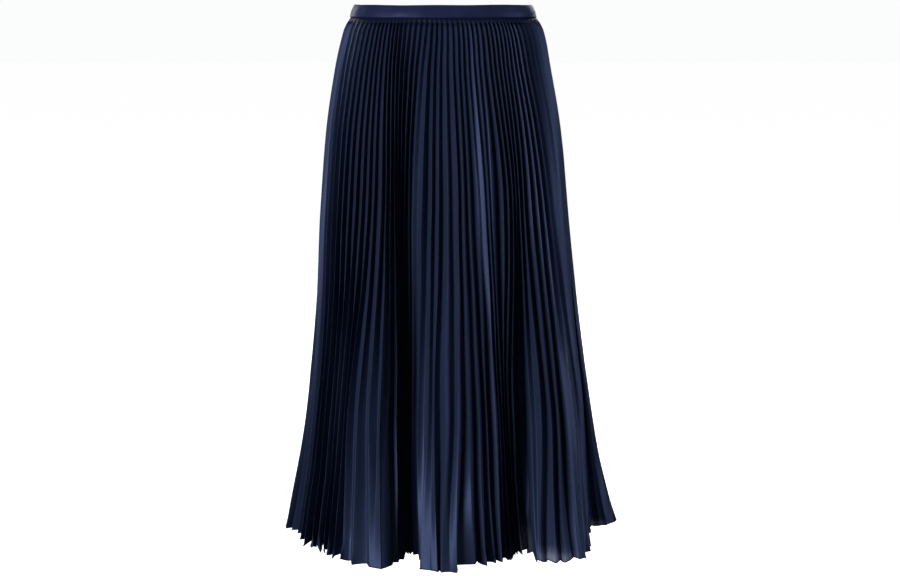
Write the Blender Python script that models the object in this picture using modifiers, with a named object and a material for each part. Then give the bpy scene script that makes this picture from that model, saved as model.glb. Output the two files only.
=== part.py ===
"""Pleated midi skirt in its worn, hollow form: a plain band over three sunray-pleated panels.

Metres, +Z up. The origin is the middle of the waist opening, halfway up the band. The front faces -Y,
and +X is the wearer's left. Every pleat is a pair of faces that meet at an outer fold, and the pleats
are numbered from 0 at the centre front towards the wearer's left, round to PLEATS.
"""

import math

import bmesh
import bpy
import numpy as np
from mathutils import Matrix, Vector

# ---------------------------------------------------------------- driving dimensions

BAND_HEIGHT = 0.016
BAND_THICKNESS = 0.0022
BAND_SEGMENTS = 60
SKIRT_LENGTH = 0.741          # drop from the origin to the hem
CLOTH_THICKNESS = 0.0012
SEAM_GAP = 0.0003
MM = 0.001

PLEATS = 100
FACE_AT_WAIST = 0.0060        # cloth width of one pleat face at the band
FACE_AT_HEM = 0.0170          # and at the hem, since the pleats fan out
USUAL_DEPTH = 0.8             # usual pleat depth, as a share of a face
FLATTEST_PLEAT = 0.30         # and the least
SHARPEST_FOLD = math.radians(30.0)   # least angle between the two faces of a pleat
WIDEST_TURN = math.radians(144.0)    # most that a turn of the cloth's line may open a pleat
LEAN_AT_HEM = 0.45            # how far inner folds drift sideways, as a share of half a pleat
LEAN_PLEATS = 9.0             # pleats from one lean to the next like it
SLOW_LEAN = 0.6               # size of a slower drift beside that one
SLOW_LEAN_WAVES = 7.0         # its waves round the whole skirt
SLOW_LEAN_START = 1.0         # its angle at pleat 0, in radians

FRONT_EDGE_RIGHT = -24.5      # inner folds that carry the seams, as pleat numbers
FRONT_EDGE_LEFT = 24.5
CENTRE_BACK = 49.5

RING_DROPS = (0.028, 0.066, 0.125, 0.200, 0.290, 0.385, 0.480, 0.575, 0.662)   # between top and hem

# height as a share of the band, ease in from the waist's outline
BAND_EASE = ((0.5, 0.0050), (0.0, 0.0022), (-0.5, 0.0))
BAND_LIP = 0.0006             # the slanting band's inner edge hangs this much lower than its outer one
PANEL_TOP = 0.5 * BAND_HEIGHT + BAND_LIP + SEAM_GAP

# The plain form that the folds hang on, read at the outer folds.
# drop below the origin, half width, half depth, shift of the middle towards +X
SECTIONS = (
    (0.012, 0.1290, 0.0885, 0.0000),
    (0.028, 0.1395, 0.0940, 0.0000),
    (0.083, 0.1512, 0.1030, -0.0015),
    (0.167, 0.1646, 0.1150, -0.0015),
    (0.280, 0.1749, 0.1280, -0.0010),
    (0.394, 0.1832, 0.1420, 0.0020),
    (0.510, 0.1944, 0.1590, 0.0045),
    (0.628, 0.2115, 0.1830, 0.0060),
    (0.687, 0.2245, 0.1990, 0.0070),
    (0.741, 0.2375, 0.2160, 0.0090),
)

# Where the larger folds of the front turn, in millimetres, at four levels of the skirt.
LEVEL_DROPS = (0.012, 0.250, 0.530, 0.741)
# pleat, waist x, hip x, hip y, knee x, knee y, hem x, hem y
FRONT_FOLDS = (
    (-25.0, -126, -168, 2, -185, 2, -221, -2),
    (-21.5, -119, -157, -42, -172, -42, -196, -52),
    (-18.0, -102, -134, -72, -152, -82, -170, -104),
    (-14.5, -82, -104, -94, -126, -114, -138, -150),
    (-12.0, -69, -84, -104, -107, -137, -113, -187),
    (-10.0, -61, -72, -104, -78, -141, -75, -188),
    (-8.5, -54, -66, -96, -66, -128, -65, -166),
    (-6.5, -41, -57, -86, -57, -106, -56, -134),
    (-5.5, -34, -50, -83, -49, -97, -47, -121),
    (-4.5, -27, -43, -89, -42, -106, -38, -134),
    (-3.0, -16, -34, -100, -37, -128, -32, -164),
    (-1.5, -7, -15, -114, -25, -149, -22, -199),
    (0.0, 3, 3, -119, -1, -158, -2, -212),
    (2.0, 17, 25, -118, 32, -151, 36, -190),
    (4.5, 32, 47, -113, 59, -142, 73, -178),
    (6.0, 40, 60, -107, 68, -130, 80, -156),
    (8.0, 53, 73, -98, 75, -110, 83, -126),
    (9.5, 61, 84, -94, 86, -114, 96, -138),
    (11.5, 72, 97, -86, 106, -108, 113, -122),
    (13.0, 79, 109, -86, 127, -122, 129, -150),
    (15.0, 87, 126, -78, 150, -122, 162, -164),
    (17.0, 99, 142, -66, 168, -104, 190, -147),
    (19.0, 109, 152, -49, 177, -76, 199, -108),
    (21.0, 117, 160, -32, 180, -50, 195, -68),
    (23.0, 123, 166, -14, 189, -22, 216, -30),
    (25.5, 126, 169, 4, 195, 8, 239, 12),
)
# Folds of the back, which lie deepest at the hem: pleat, millimetres in from the plain form at the hem
BACK_FOLDS = (
    (29.0, 46),
    (32.5, 2),
    (36.0, 52),
    (39.0, 6),
    (43.5, 48),
    (46.5, 0),
    (50.0, 44),
    (54.0, 4),
    (57.0, 38),
    (60.0, 0),
    (64.0, 54),
    (68.0, 3),
    (71.5, 40),
)
FOLD_SHARES = (0.0, 0.14, 0.52, 1.0)   # of a back fold's depth at each level

ROUNDING_STEPS = (-1.0, -0.5, 0.0, 0.5, 1.0)   # pleats over which a turn is rounded
ROUNDING_WEIGHTS = (2, 3, 3, 3, 2)
WAIST_STEPS = 720             # steps in which the waist's arc is measured

ZIP_TOP = 0.0125              # drop of the slider's top
SLIDER_WIDTH = 0.0072
SLIDER_HEIGHT = 0.0100
SLIDER_DEPTH = 0.0022
SLIDER_EDGE = 0.0006
BRIDGE_RADIUS = 0.0032
BRIDGE_WIRE = 0.0009
BRIDGE_ROOT = 0.0005          # how deep the bridge's feet stand in the slider
BRIDGE_FOOT = 0.5 * SLIDER_DEPTH - BRIDGE_ROOT
PIVOT_RISE = 0.0014           # pull tab's pivot above the bridge's feet
PULL_LENGTH = 0.0230
PULL_WIDTH = 0.0054
PULL_THICKNESS = 0.0009
PULL_SIDE = 0.0012            # metal each side of the eye
PULL_EYE = 0.0040             # length of the eye that rides on the bridge
PULL_CORNER = 0.0004
PULL_NECK_WIDTH = 0.0034
PULL_NECK_DROP = 0.0045
PULL_END_WIDTH = 0.0062
BRIDGE_STEPS = 15             # points on the bridge's arcs, the pull's end and its corners
END_STEPS = 13
CORNER_STEPS = 4
WELD = 1e-6

NAVY = (0.010, 0.014, 0.045, 1.0)
NAVY_BAND = (0.016, 0.020, 0.055, 1.0)
DARK_METAL = (0.030, 0.034, 0.060, 1.0)


# ---------------------------------------------------------------- smooth readings of the tables

def slopes(knots, values):
    """Shape-preserving slopes at the knots, so that a curve between them has no bump of its own."""
    gaps = np.diff(knots)
    rises = np.diff(values, axis=0) / gaps.reshape(-1, *[1] * (values.ndim - 1))
    inner = np.zeros_like(values)
    same_way = rises[:-1] * rises[1:] > 0
    before, after = rises[:-1], rises[1:]
    total = np.where(same_way, before + after, 1.0)
    inner[1:-1] = np.where(same_way, 2.0 * before * after / total, 0.0)
    inner[0], inner[-1] = rises[0], rises[-1]
    return inner


def smooth_slopes(knots, values):
    """Slopes through the neighbours on both sides, for outlines that turn freely."""
    gaps = np.diff(knots)[:, None]
    rises = np.diff(values, axis=0) / gaps
    before, after = gaps[:-1], gaps[1:]
    inner = np.zeros_like(values)
    inner[1:-1] = (rises[:-1] * after + rises[1:] * before) / (before + after)
    inner[0], inner[-1] = rises[0], rises[-1]
    return inner


def read_curve(knots, values, tangents, at):
    """Cubic Hermite curve through the values, read at the given places."""
    at = np.asarray(at, float)
    span = np.clip(np.searchsorted(knots, at, side="right") - 1, 0, len(knots) - 2)
    gap = knots[span + 1] - knots[span]
    t = (at - knots[span]) / gap
    shape = (-1,) + (1,) * (values.ndim - 1)
    t, gap = t.reshape(shape), gap.reshape(shape)
    return (
        (2 * t**3 - 3 * t**2 + 1) * values[span]
        + (t**3 - 2 * t**2 + t) * gap * tangents[span]
        + (3 * t**2 - 2 * t**3) * values[span + 1]
        + (t**3 - t**2) * gap * tangents[span + 1]
    )


def section_at(drop):
    """Half width, half depth and shift of the plain form at a drop below the origin."""
    table = np.array(SECTIONS)
    knots, values = table[:, 0], table[:, 1:]
    place = np.clip(drop, knots[0], knots[-1])
    return read_curve(knots, values, slopes(knots, values), [place])[0]


def share_down(drop):
    """How far a drop is from the waist's level, 0, to the hem, 1."""
    return (drop - LEVEL_DROPS[0]) / (LEVEL_DROPS[-1] - LEVEL_DROPS[0])


def face_width(drop):
    """Cloth width of one pleat face at a drop."""
    return FACE_AT_WAIST + (FACE_AT_HEM - FACE_AT_WAIST) * share_down(drop)


def usual_depth(drop):
    """Depth of an average pleat at a drop."""
    return USUAL_DEPTH * face_width(drop)


def plain_turn(pleat):
    """Where a pleat of the back stands on the plain form: equal arcs of the waist's ellipse, as an angle."""
    _, width, depth, _ = SECTIONS[0]
    angles = np.linspace(0.0, 2.0 * math.pi, WAIST_STEPS + 1)
    steps = np.hypot(np.diff(width * np.sin(angles)), np.diff(depth * np.cos(angles)))
    arcs = np.concatenate([[0.0], np.cumsum(steps)])
    return np.interp(pleat / PLEATS, arcs / arcs[-1], angles)


def fold_rows():
    """Each turn of a fold, as its pleat and its place at the four levels in shares of the plain form."""
    rows = []
    levels = [section_at(drop) for drop in LEVEL_DROPS]
    half_pleats = [0.5 * usual_depth(drop) for drop in LEVEL_DROPS]
    for pleat, waist_x, *lower in FRONT_FOLDS:
        across = MM * np.array([waist_x, lower[0], lower[2], lower[4]])
        front = MM * np.array([0.0, lower[1], lower[3], lower[5]])
        place = []
        for level, (width, depth, shift) in enumerate(levels):
            inset = half_pleats[level]
            place.append(((across[level] - shift) / (width - inset), front[level] / (depth - inset)))
        side = min(1.0, abs(place[0][0]))
        place[0] = (math.copysign(side, place[0][0]), -math.sqrt(1.0 - side**2))
        rows.append((pleat, place))
    for pleat, inward in BACK_FOLDS:
        turn = plain_turn(pleat)
        place = []
        for (width, depth, _), share in zip(levels, FOLD_SHARES):
            radius = math.hypot(width * math.sin(turn), depth * math.cos(turn))
            reach = 1.0 - share * inward * MM / radius
            place.append((reach * math.sin(turn), -reach * math.cos(turn)))
        rows.append((pleat, place))
    return rows


def fold_curves():
    """The fold turns, repeated on both sides of one turn round the body, with slopes to read between them."""
    rows = fold_rows()
    knots = np.array([row[0] for row in rows])
    places = np.array([row[1] for row in rows]).reshape(len(rows), -1)
    knots = np.concatenate([knots - PLEATS, knots, knots + PLEATS])
    places = np.concatenate([places, places, places])
    return knots, places, smooth_slopes(knots, places)


def fold_line(curves, pleats, drop):
    """Line through the turns of the larger folds at a drop."""
    knots, places, tangents = curves
    levels = read_curve(knots, places, tangents, pleats).reshape(len(pleats), len(LEVEL_DROPS), 2)
    levels = np.moveaxis(levels, 1, 0)
    drops = np.array(LEVEL_DROPS)
    place = np.clip(drop, drops[0], drops[-1])
    shares = read_curve(drops, levels, slopes(drops, levels), [place])[0]
    width, depth, shift = section_at(drop)
    inset = 0.5 * usual_depth(drop)
    return np.column_stack([shift + (width - inset) * shares[:, 0], (depth - inset) * shares[:, 1]])


def mean_line(curves, pleats, drop):
    """The cloth's middle line at a drop, its turns rounded, before the pleats are folded into it."""
    total = 0.0
    for step, weight in zip(ROUNDING_STEPS, ROUNDING_WEIGHTS):
        total = total + weight * fold_line(curves, pleats + step, drop)
    return total / sum(ROUNDING_WEIGHTS)


def lean(pleats, drop):
    """Sideways drift of the inner folds at a drop, as a share of half a pleat."""
    turn = 2.0 * math.pi * pleats
    wave = np.sin(turn / LEAN_PLEATS)
    wave += SLOW_LEAN * np.sin(SLOW_LEAN_WAVES * turn / PLEATS + SLOW_LEAN_START)
    return LEAN_AT_HEM * share_down(drop) * np.clip(wave, -1.0, 1.0)


def pleated_ring(curves, first, last, drop):
    """Outer and inner folds from one seam to the next at a drop, starting and ending on an inner fold."""
    pleats = np.arange(first, last + 0.25, 0.5)
    line = mean_line(curves, pleats, drop)
    ahead = mean_line(curves, pleats + 0.5, drop) - line
    behind = line - mean_line(curves, pleats - 0.5, drop)
    along = ahead + behind
    pitch = np.linalg.norm(along, axis=1)
    along /= pitch[:, None]
    outward = np.column_stack([along[:, 1], -along[:, 0]])
    turn = 2.0 * np.abs(np.arctan2(np.cross(behind, ahead), (behind * ahead).sum(axis=1)))
    face = face_width(drop)
    depth = np.sqrt(np.maximum(face**2 - (0.5 * pitch) ** 2, (FLATTEST_PLEAT * face) ** 2))
    sharpest = np.minimum(SHARPEST_FOLD + turn, WIDEST_TURN)
    depth = np.minimum(depth, 0.5 * pitch / np.tan(0.5 * sharpest))
    inner = np.arange(len(pleats)) % 2 == 0
    side = np.where(inner, -0.5, 0.5)
    drift = np.where(inner, 0.5 * pitch * lean(pleats, drop), 0.0)
    drift[0] = drift[-1] = 0.0
    points = line + outward * (side * depth)[:, None] + along * drift[:, None]
    points[0] += along[0] * 0.5 * SEAM_GAP
    points[-1] -= along[-1] * 0.5 * SEAM_GAP
    return points


# ---------------------------------------------------------------- building helpers

def clear_scene():
    """Removes every object that the scene starts with."""
    for item in list(bpy.data.objects):
        bpy.data.objects.remove(item, do_unlink=True)


def finish_material(name, colour, roughness, metallic=0.0):
    """Material of one plain colour."""
    material = bpy.data.materials.new(name)
    material.use_nodes = True
    shader = material.node_tree.nodes["Principled BSDF"]
    shader.inputs["Base Color"].default_value = colour
    shader.inputs["Roughness"].default_value = roughness
    shader.inputs["Metallic"].default_value = metallic
    return material


def add_object(collection, name, mesh, material):
    """Object of a mesh or curve, in the given collection."""
    piece = bpy.data.objects.new(name, mesh)
    piece.data.materials.append(material)
    collection.objects.link(piece)
    return piece


def loft(name, rings):
    """Skin between rings of equally many points, from the top down, each running towards +X at the front."""
    count = len(rings[0])
    points = [tuple(point) for ring in rings for point in ring]
    faces = []
    for row in range(len(rings) - 1):
        for step in range(count - 1):
            corner = row * count + step
            faces.append((corner, corner + count, corner + count + 1, corner + 1))
    mesh = bpy.data.meshes.new(name)
    mesh.from_pydata(points, [], faces)
    mesh.update()
    return mesh


def add_wall(piece, thickness):
    """Thickness inwards from the outer skin."""
    wall = piece.modifiers.new("wall", "SOLIDIFY")
    wall.thickness = thickness
    wall.offset = -1.0
    wall.use_even_offset = True


def flat_outline(collection, name, outlines, thickness, material):
    """Plate of the given closed outlines in its own XY plane; an outline inside another is a hole."""
    curve = bpy.data.curves.new(name, "CURVE")
    curve.dimensions = "2D"
    curve.fill_mode = "BOTH"
    curve.extrude = 0.5 * thickness
    for outline in outlines:
        spline = curve.splines.new("POLY")
        spline.points.add(len(outline) - 1)
        for point, (x, y) in zip(spline.points, outline):
            point.co = (x, y, 0.0, 1.0)
        spline.use_cyclic_u = True
    return add_object(collection, name, curve, material)


def arc(centre, radius, start, end, steps):
    """Points on an arc, angles in degrees from +X."""
    angles = np.radians(np.linspace(start, end, steps))
    return [(centre[0] + radius * math.cos(a), centre[1] + radius * math.sin(a)) for a in angles]


# ---------------------------------------------------------------- the pieces

def build_panel(collection, name, curves, first, last, material):
    """One pleated panel between two seams."""
    rings = []
    for drop in (PANEL_TOP, *RING_DROPS, SKIRT_LENGTH):
        rings.append([(x, y, -drop) for x, y in pleated_ring(curves, first, last, drop)])
    panel = add_object(collection, name, loft(name, rings), material)
    add_wall(panel, CLOTH_THICKNESS)


def build_band(collection, material):
    """The band: one strip round the waist whose ends meet at the centre back."""
    _, width, depth, shift = SECTIONS[0]
    half_gap = 0.5 * SEAM_GAP / width
    start = plain_turn(CENTRE_BACK) + half_gap
    angles = np.linspace(start, start + 2.0 * (math.pi - half_gap), BAND_SEGMENTS + 1)
    rings = []
    for height, ease in BAND_EASE:
        rings.append([
            (shift + (width - ease) * math.sin(a), -(depth - ease) * math.cos(a), height * BAND_HEIGHT)
            for a in angles
        ])
    band = add_object(collection, "waistband", loft("waistband", rings), material)
    add_wall(band, BAND_THICKNESS)


def zip_seat(curves):
    """Where the slider's back rests on the folds beside the centre back, and the cloth's slope there."""
    ends = []
    for drop in (PANEL_TOP, RING_DROPS[0]):
        ring = pleated_ring(curves, CENTRE_BACK - 1.0, CENTRE_BACK + 1.0, drop)
        ends.append(Vector((float(ring[2, 0]), float(ring[:, 1].max()), -drop)))
    share = (ZIP_TOP + 0.5 * SLIDER_HEIGHT - PANEL_TOP) / (RING_DROPS[0] - PANEL_TOP)
    down = (ends[1] - ends[0]).normalized()
    return ends[0].lerp(ends[1], share), math.atan2(down.y, -down.z)


def build_slider(collection, seat, tilt, out, material):
    """Slider of the concealed zip, a rounded block that lies along the cloth."""
    bpy.ops.mesh.primitive_cube_add(size=1.0)
    slider = bpy.context.object
    slider.name = slider.data.name = "zip_slider"
    for owner in list(slider.users_collection):
        owner.objects.unlink(slider)
    collection.objects.link(slider)
    slider.data.materials.append(material)
    slider.data.transform(Matrix.Diagonal((SLIDER_WIDTH, SLIDER_DEPTH, SLIDER_HEIGHT, 1.0)))
    slider.location = seat + out * (SEAM_GAP + 0.5 * SLIDER_DEPTH)
    slider.rotation_euler = (tilt, 0.0, 0.0)
    bevel = slider.modifiers.new("soft edges", "BEVEL")
    bevel.width = SLIDER_EDGE
    bevel.segments = 2
    return slider


def add_bridge(helpers, slider, material):
    """Half ring that stands on the slider's outer face, over the bar of the pull tab."""
    outer = arc((0.0, 0.0), BRIDGE_RADIUS, 0.0, 180.0, BRIDGE_STEPS)
    inner = arc((0.0, 0.0), BRIDGE_RADIUS - BRIDGE_WIRE, 180.0, 0.0, BRIDGE_STEPS)
    outline = flat_outline(helpers, "bridge_outline", [outer + inner], BRIDGE_WIRE, material)
    bpy.context.view_layer.update()
    solid = bpy.data.meshes.new_from_object(outline.evaluated_get(bpy.context.evaluated_depsgraph_get()))
    bpy.data.objects.remove(outline, do_unlink=True)
    welded = bmesh.new()
    welded.from_mesh(solid)
    bmesh.ops.remove_doubles(welded, verts=welded.verts, dist=WELD)
    welded.to_mesh(solid)
    welded.free()

    # The outline's X becomes the slider's up, and its Y the way out from the slider's face.
    stand_up = Matrix(((0.0, 0.0, 1.0), (0.0, 1.0, 0.0), (1.0, 0.0, 0.0))).to_4x4()
    solid.transform(Matrix.Translation((0.0, BRIDGE_FOOT, 0.0)) @ stand_up)
    solid.flip_normals()
    bridge = add_object(helpers, "bridge_arch", solid, material)
    bridge.parent = slider
    bridge.hide_render = True
    bridge.display_type = "WIRE"
    union = slider.modifiers.new("bridge", "BOOLEAN")
    union.operation = "UNION"
    union.object = bridge


def build_pull(collection, pivot, tilt, material):
    """Pull tab that hangs by the bar of its eye, which lies on the pivot inside the bridge."""
    bar_half = 0.5 * PULL_THICKNESS
    half_width = 0.5 * PULL_WIDTH
    corner = half_width - PULL_CORNER
    end_radius = 0.5 * PULL_END_WIDTH
    shoulder = -PULL_EYE - PULL_THICKNESS
    neck = -PULL_EYE - PULL_NECK_DROP
    outline = (
        arc((corner, bar_half - PULL_CORNER), PULL_CORNER, 0.0, 90.0, CORNER_STEPS)
        + arc((-corner, bar_half - PULL_CORNER), PULL_CORNER, 90.0, 180.0, CORNER_STEPS)
        + [(-half_width, shoulder), (-0.5 * PULL_NECK_WIDTH, neck)]
        + arc((0.0, end_radius - PULL_LENGTH), end_radius, 180.0, 360.0, END_STEPS)
        + [(0.5 * PULL_NECK_WIDTH, neck), (half_width, shoulder)]
    )
    eye_half = half_width - PULL_SIDE
    eye_end = -bar_half - PULL_EYE
    eye = [(-eye_half, -bar_half), (eye_half, -bar_half), (eye_half, eye_end), (-eye_half, eye_end)]
    pull = flat_outline(collection, "zip_pull", [outline, eye], PULL_THICKNESS, material)
    pull.location = pivot
    pull.rotation_euler = (0.5 * math.pi + tilt, 0.0, 0.0)


def build_zip(collection, helpers, curves, material):
    """The zip's slider with its bridge, and the pull tab that swings on the bridge."""
    seat, tilt = zip_seat(curves)
    out = Vector((0.0, math.cos(tilt), math.sin(tilt)))
    slider = build_slider(collection, seat, tilt, out, material)
    add_bridge(helpers, slider, material)
    build_pull(collection, slider.location + out * (BRIDGE_FOOT + PIVOT_RISE), tilt, material)


def main():
    """Builds the whole skirt."""
    clear_scene()
    collection = bpy.data.collections.new("pleated_midi_skirt")
    helpers = bpy.data.collections.new("cutters")
    for group in (collection, helpers):
        bpy.context.scene.collection.children.link(group)
    satin = finish_material("navy satin", NAVY, 0.42)
    band_satin = finish_material("navy band satin", NAVY_BAND, 0.38)
    metal = finish_material("dark zip metal", DARK_METAL, 0.35, 0.8)

    curves = fold_curves()
    build_band(collection, band_satin)
    build_panel(collection, "skirt_front", curves, FRONT_EDGE_RIGHT, FRONT_EDGE_LEFT, satin)
    build_panel(collection, "skirt_back_left", curves, FRONT_EDGE_LEFT, CENTRE_BACK, satin)
    build_panel(collection, "skirt_back_right", curves, CENTRE_BACK, FRONT_EDGE_RIGHT + PLEATS, satin)
    build_zip(collection, helpers, curves, metal)


main()
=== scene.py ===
"""Looks of the pleated midi skirt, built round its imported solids.

Metres, +Z up, with the origin in the middle of the waist opening. The front faces -Y and +X is the
wearer's left. Pleats are numbered from 0 at the centre front towards the wearer's left, and drops are
measured down from the origin. Whole pleat numbers are outer folds, and halves are inner folds.
"""

import logging
import math
from dataclasses import dataclass
from enum import Enum
from typing import NamedTuple, Sequence

import bpy
import numpy as np
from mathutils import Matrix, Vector


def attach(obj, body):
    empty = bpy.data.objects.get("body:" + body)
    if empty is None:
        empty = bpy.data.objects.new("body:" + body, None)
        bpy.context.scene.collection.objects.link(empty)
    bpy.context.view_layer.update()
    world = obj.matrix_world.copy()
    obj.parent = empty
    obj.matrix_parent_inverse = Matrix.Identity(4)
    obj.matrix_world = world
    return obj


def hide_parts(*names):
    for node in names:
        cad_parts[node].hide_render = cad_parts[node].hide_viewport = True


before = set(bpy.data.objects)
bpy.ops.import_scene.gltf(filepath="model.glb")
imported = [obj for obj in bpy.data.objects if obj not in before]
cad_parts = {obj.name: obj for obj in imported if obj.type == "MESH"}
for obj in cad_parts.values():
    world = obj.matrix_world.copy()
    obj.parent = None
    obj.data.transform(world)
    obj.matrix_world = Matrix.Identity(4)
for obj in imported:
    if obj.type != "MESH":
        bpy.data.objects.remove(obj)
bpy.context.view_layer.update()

log = logging.getLogger("pleated_skirt")

Socket = bpy.types.NodeSocket
Pair = tuple[float, float]
Triple = tuple[float, float, float]
Colour = Triple

MM = 0.001
FULL_TURN = 2.0 * math.pi
UP = np.array([0.0, 0.0, 1.0])
SKIRT_BODY = "skirt"
SEAM_GAP = 0.00003


# ---------------------------------------------------------------- tables of the form

class Section(NamedTuple):
    """Plain outline of the skirt at one drop, read at the outer folds."""

    drop: float
    half_width: float
    half_depth: float
    shift: float


class FrontFold(NamedTuple):
    """Where a large fold of the front turns at the waist, hip, knee and hem, in millimetres."""

    pleat: float
    waist_x: float
    hip_x: float
    hip_y: float
    knee_x: float
    knee_y: float
    hem_x: float
    hem_y: float


class PlacedFold(NamedTuple):
    """A small fold given its own place, seen from above at the hip, knee and hem, in millimetres.

    None leaves a fold where the pleats' own rule puts it.
    """

    pleat: float
    hip: Pair | None
    knee: Pair | None
    hem: Pair | None


class EarlyShare(NamedTuple):
    """How much of its shift at the hip a placed fold already has a little under the band."""

    pleat: float
    share: float


class HemLift(NamedTuple):
    """How much higher the hem hangs at a pleat, in millimetres."""

    pleat: float
    rise: float


class Ruffle(NamedTuple):
    """Where the hem's edge is loose and curls: the middle and width in pleats."""

    pleat: float
    width: float
    strength: float


class PaintedBacklightSpot(NamedTuple):
    """Where a paler colour is painted in for light shining through a single layer: the middle and width in
    pleats, the height in metres.
    """

    pleat: float
    width: float
    height: float
    strength: float


class BackFold(NamedTuple):
    """How far in a large fold of the back turns at the hem, in millimetres."""

    pleat: float
    inward: float


class PleatSet(NamedTuple):
    """How the pleats near one pleat are set at the hip, knee and hem.

    A lean of 1 brings the inner fold beside the next outer fold, and -1 beside the one before.
    Fullness multiplies the usual depth of a pleat.
    """

    pleat: float
    lean_hip: float
    lean_knee: float
    lean_hem: float
    full_hip: float
    full_knee: float
    full_hem: float


WAIST = Section(0.0, 0.1290, 0.0885, 0.0)

SECTIONS = (
    Section(0.008, 0.1293, 0.0886, 0.0000),
    Section(0.012, 0.1318, 0.0898, 0.0000),
    Section(0.019, 0.1356, 0.0918, 0.0000),
    Section(0.028, 0.1395, 0.0940, 0.0000),
    Section(0.083, 0.1512, 0.1030, -0.0015),
    Section(0.167, 0.1646, 0.1150, -0.0015),
    Section(0.280, 0.1749, 0.1280, -0.0010),
    Section(0.394, 0.1832, 0.1420, 0.0020),
    Section(0.510, 0.1944, 0.1590, 0.0045),
    Section(0.628, 0.2115, 0.1830, 0.0060),
    Section(0.687, 0.2245, 0.1990, 0.0070),
    Section(0.741, 0.2375, 0.2160, 0.0090),
)

# Waist, hip, knee and hem.
LEVEL_DROPS = (0.012, 0.250, 0.530, 0.741)

# The same and one more under the band, for the placed folds, whose own places start at the hip.
SHIFT_DROPS = (0.012, 0.120, 0.250, 0.530, 0.741)
HIP_SHIFT = 2

FRONT_FOLDS = (
    FrontFold(-25.0, -130, -168, 2, -187, 2, -233, 2),
    FrontFold(-23.0, -128, -163, -22, -181, -16, -210, -8),
    FrontFold(-22.0, -125, -159, -36, -175, -34, -202, -32),
    FrontFold(-21.0, -121, -155, -46, -170, -52, -196, -70),
    FrontFold(-20.0, -115, -149, -56, -164, -64, -188, -86),
    FrontFold(-18.0, -102, -134, -72, -149, -83, -169, -107),
    FrontFold(-14.5, -82, -104, -94, -126, -116, -138, -152),
    FrontFold(-13.0, -75, -92, -101, -113, -131, -119, -176),
    FrontFold(-12.0, -69, -84, -104, -102, -138, -96, -188),
    FrontFold(-11.0, -65, -78, -105, -87, -142, -83, -193),
    FrontFold(-10.0, -61, -72, -104, -75, -139, -72, -187),
    FrontFold(-8.5, -54, -66, -96, -64, -126, -61, -165),
    FrontFold(-6.5, -41, -57, -86, -57, -106, -56, -134),
    FrontFold(-5.5, -34, -50, -83, -49, -97, -47, -121),
    FrontFold(-4.5, -27, -43, -89, -42, -106, -38, -134),
    FrontFold(-3.0, -16, -34, -100, -37, -128, -33, -168),
    FrontFold(-1.5, -7, -13, -114, -20, -149, -16, -205),
    FrontFold(0.0, 3, 3, -119, 1, -158, 11, -213),
    FrontFold(1.0, 10, 14, -119, 17, -157, 24, -200),
    FrontFold(2.0, 17, 25, -118, 34, -153, 38, -188),
    FrontFold(3.0, 23, 34, -116, 49, -148, 52, -181),
    FrontFold(4.5, 32, 47, -113, 68, -140, 70, -171),
    FrontFold(6.0, 40, 60, -107, 79, -132, 80, -161),
    FrontFold(8.0, 53, 73, -98, 87, -122, 88, -148),
    FrontFold(9.5, 61, 84, -94, 95, -115, 97, -136),
    FrontFold(11.5, 72, 97, -86, 108, -101, 112, -113),
    FrontFold(12.2, 75, 102, -86, 114, -103, 116, -120),
    FrontFold(13.0, 79, 109, -86, 127, -119, 127, -152),
    FrontFold(14.0, 83, 118, -83, 143, -123, 153, -162),
    FrontFold(15.0, 87, 126, -78, 157, -121, 172, -160),
    FrontFold(17.0, 99, 142, -66, 179, -104, 198, -144),
    FrontFold(18.0, 104, 147, -58, 184, -90, 203, -122),
    FrontFold(19.5, 114, 154, -44, 184, -70, 205, -82),
    FrontFold(21.0, 121, 160, -32, 184, -48, 200, -44),
    FrontFold(22.0, 125, 163, -23, 188, -34, 206, -12),
    FrontFold(23.5, 128, 167, -9, 195, -12, 224, 2),
    FrontFold(25.5, 130, 169, 4, 201, 8, 249, 16),
)

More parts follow.
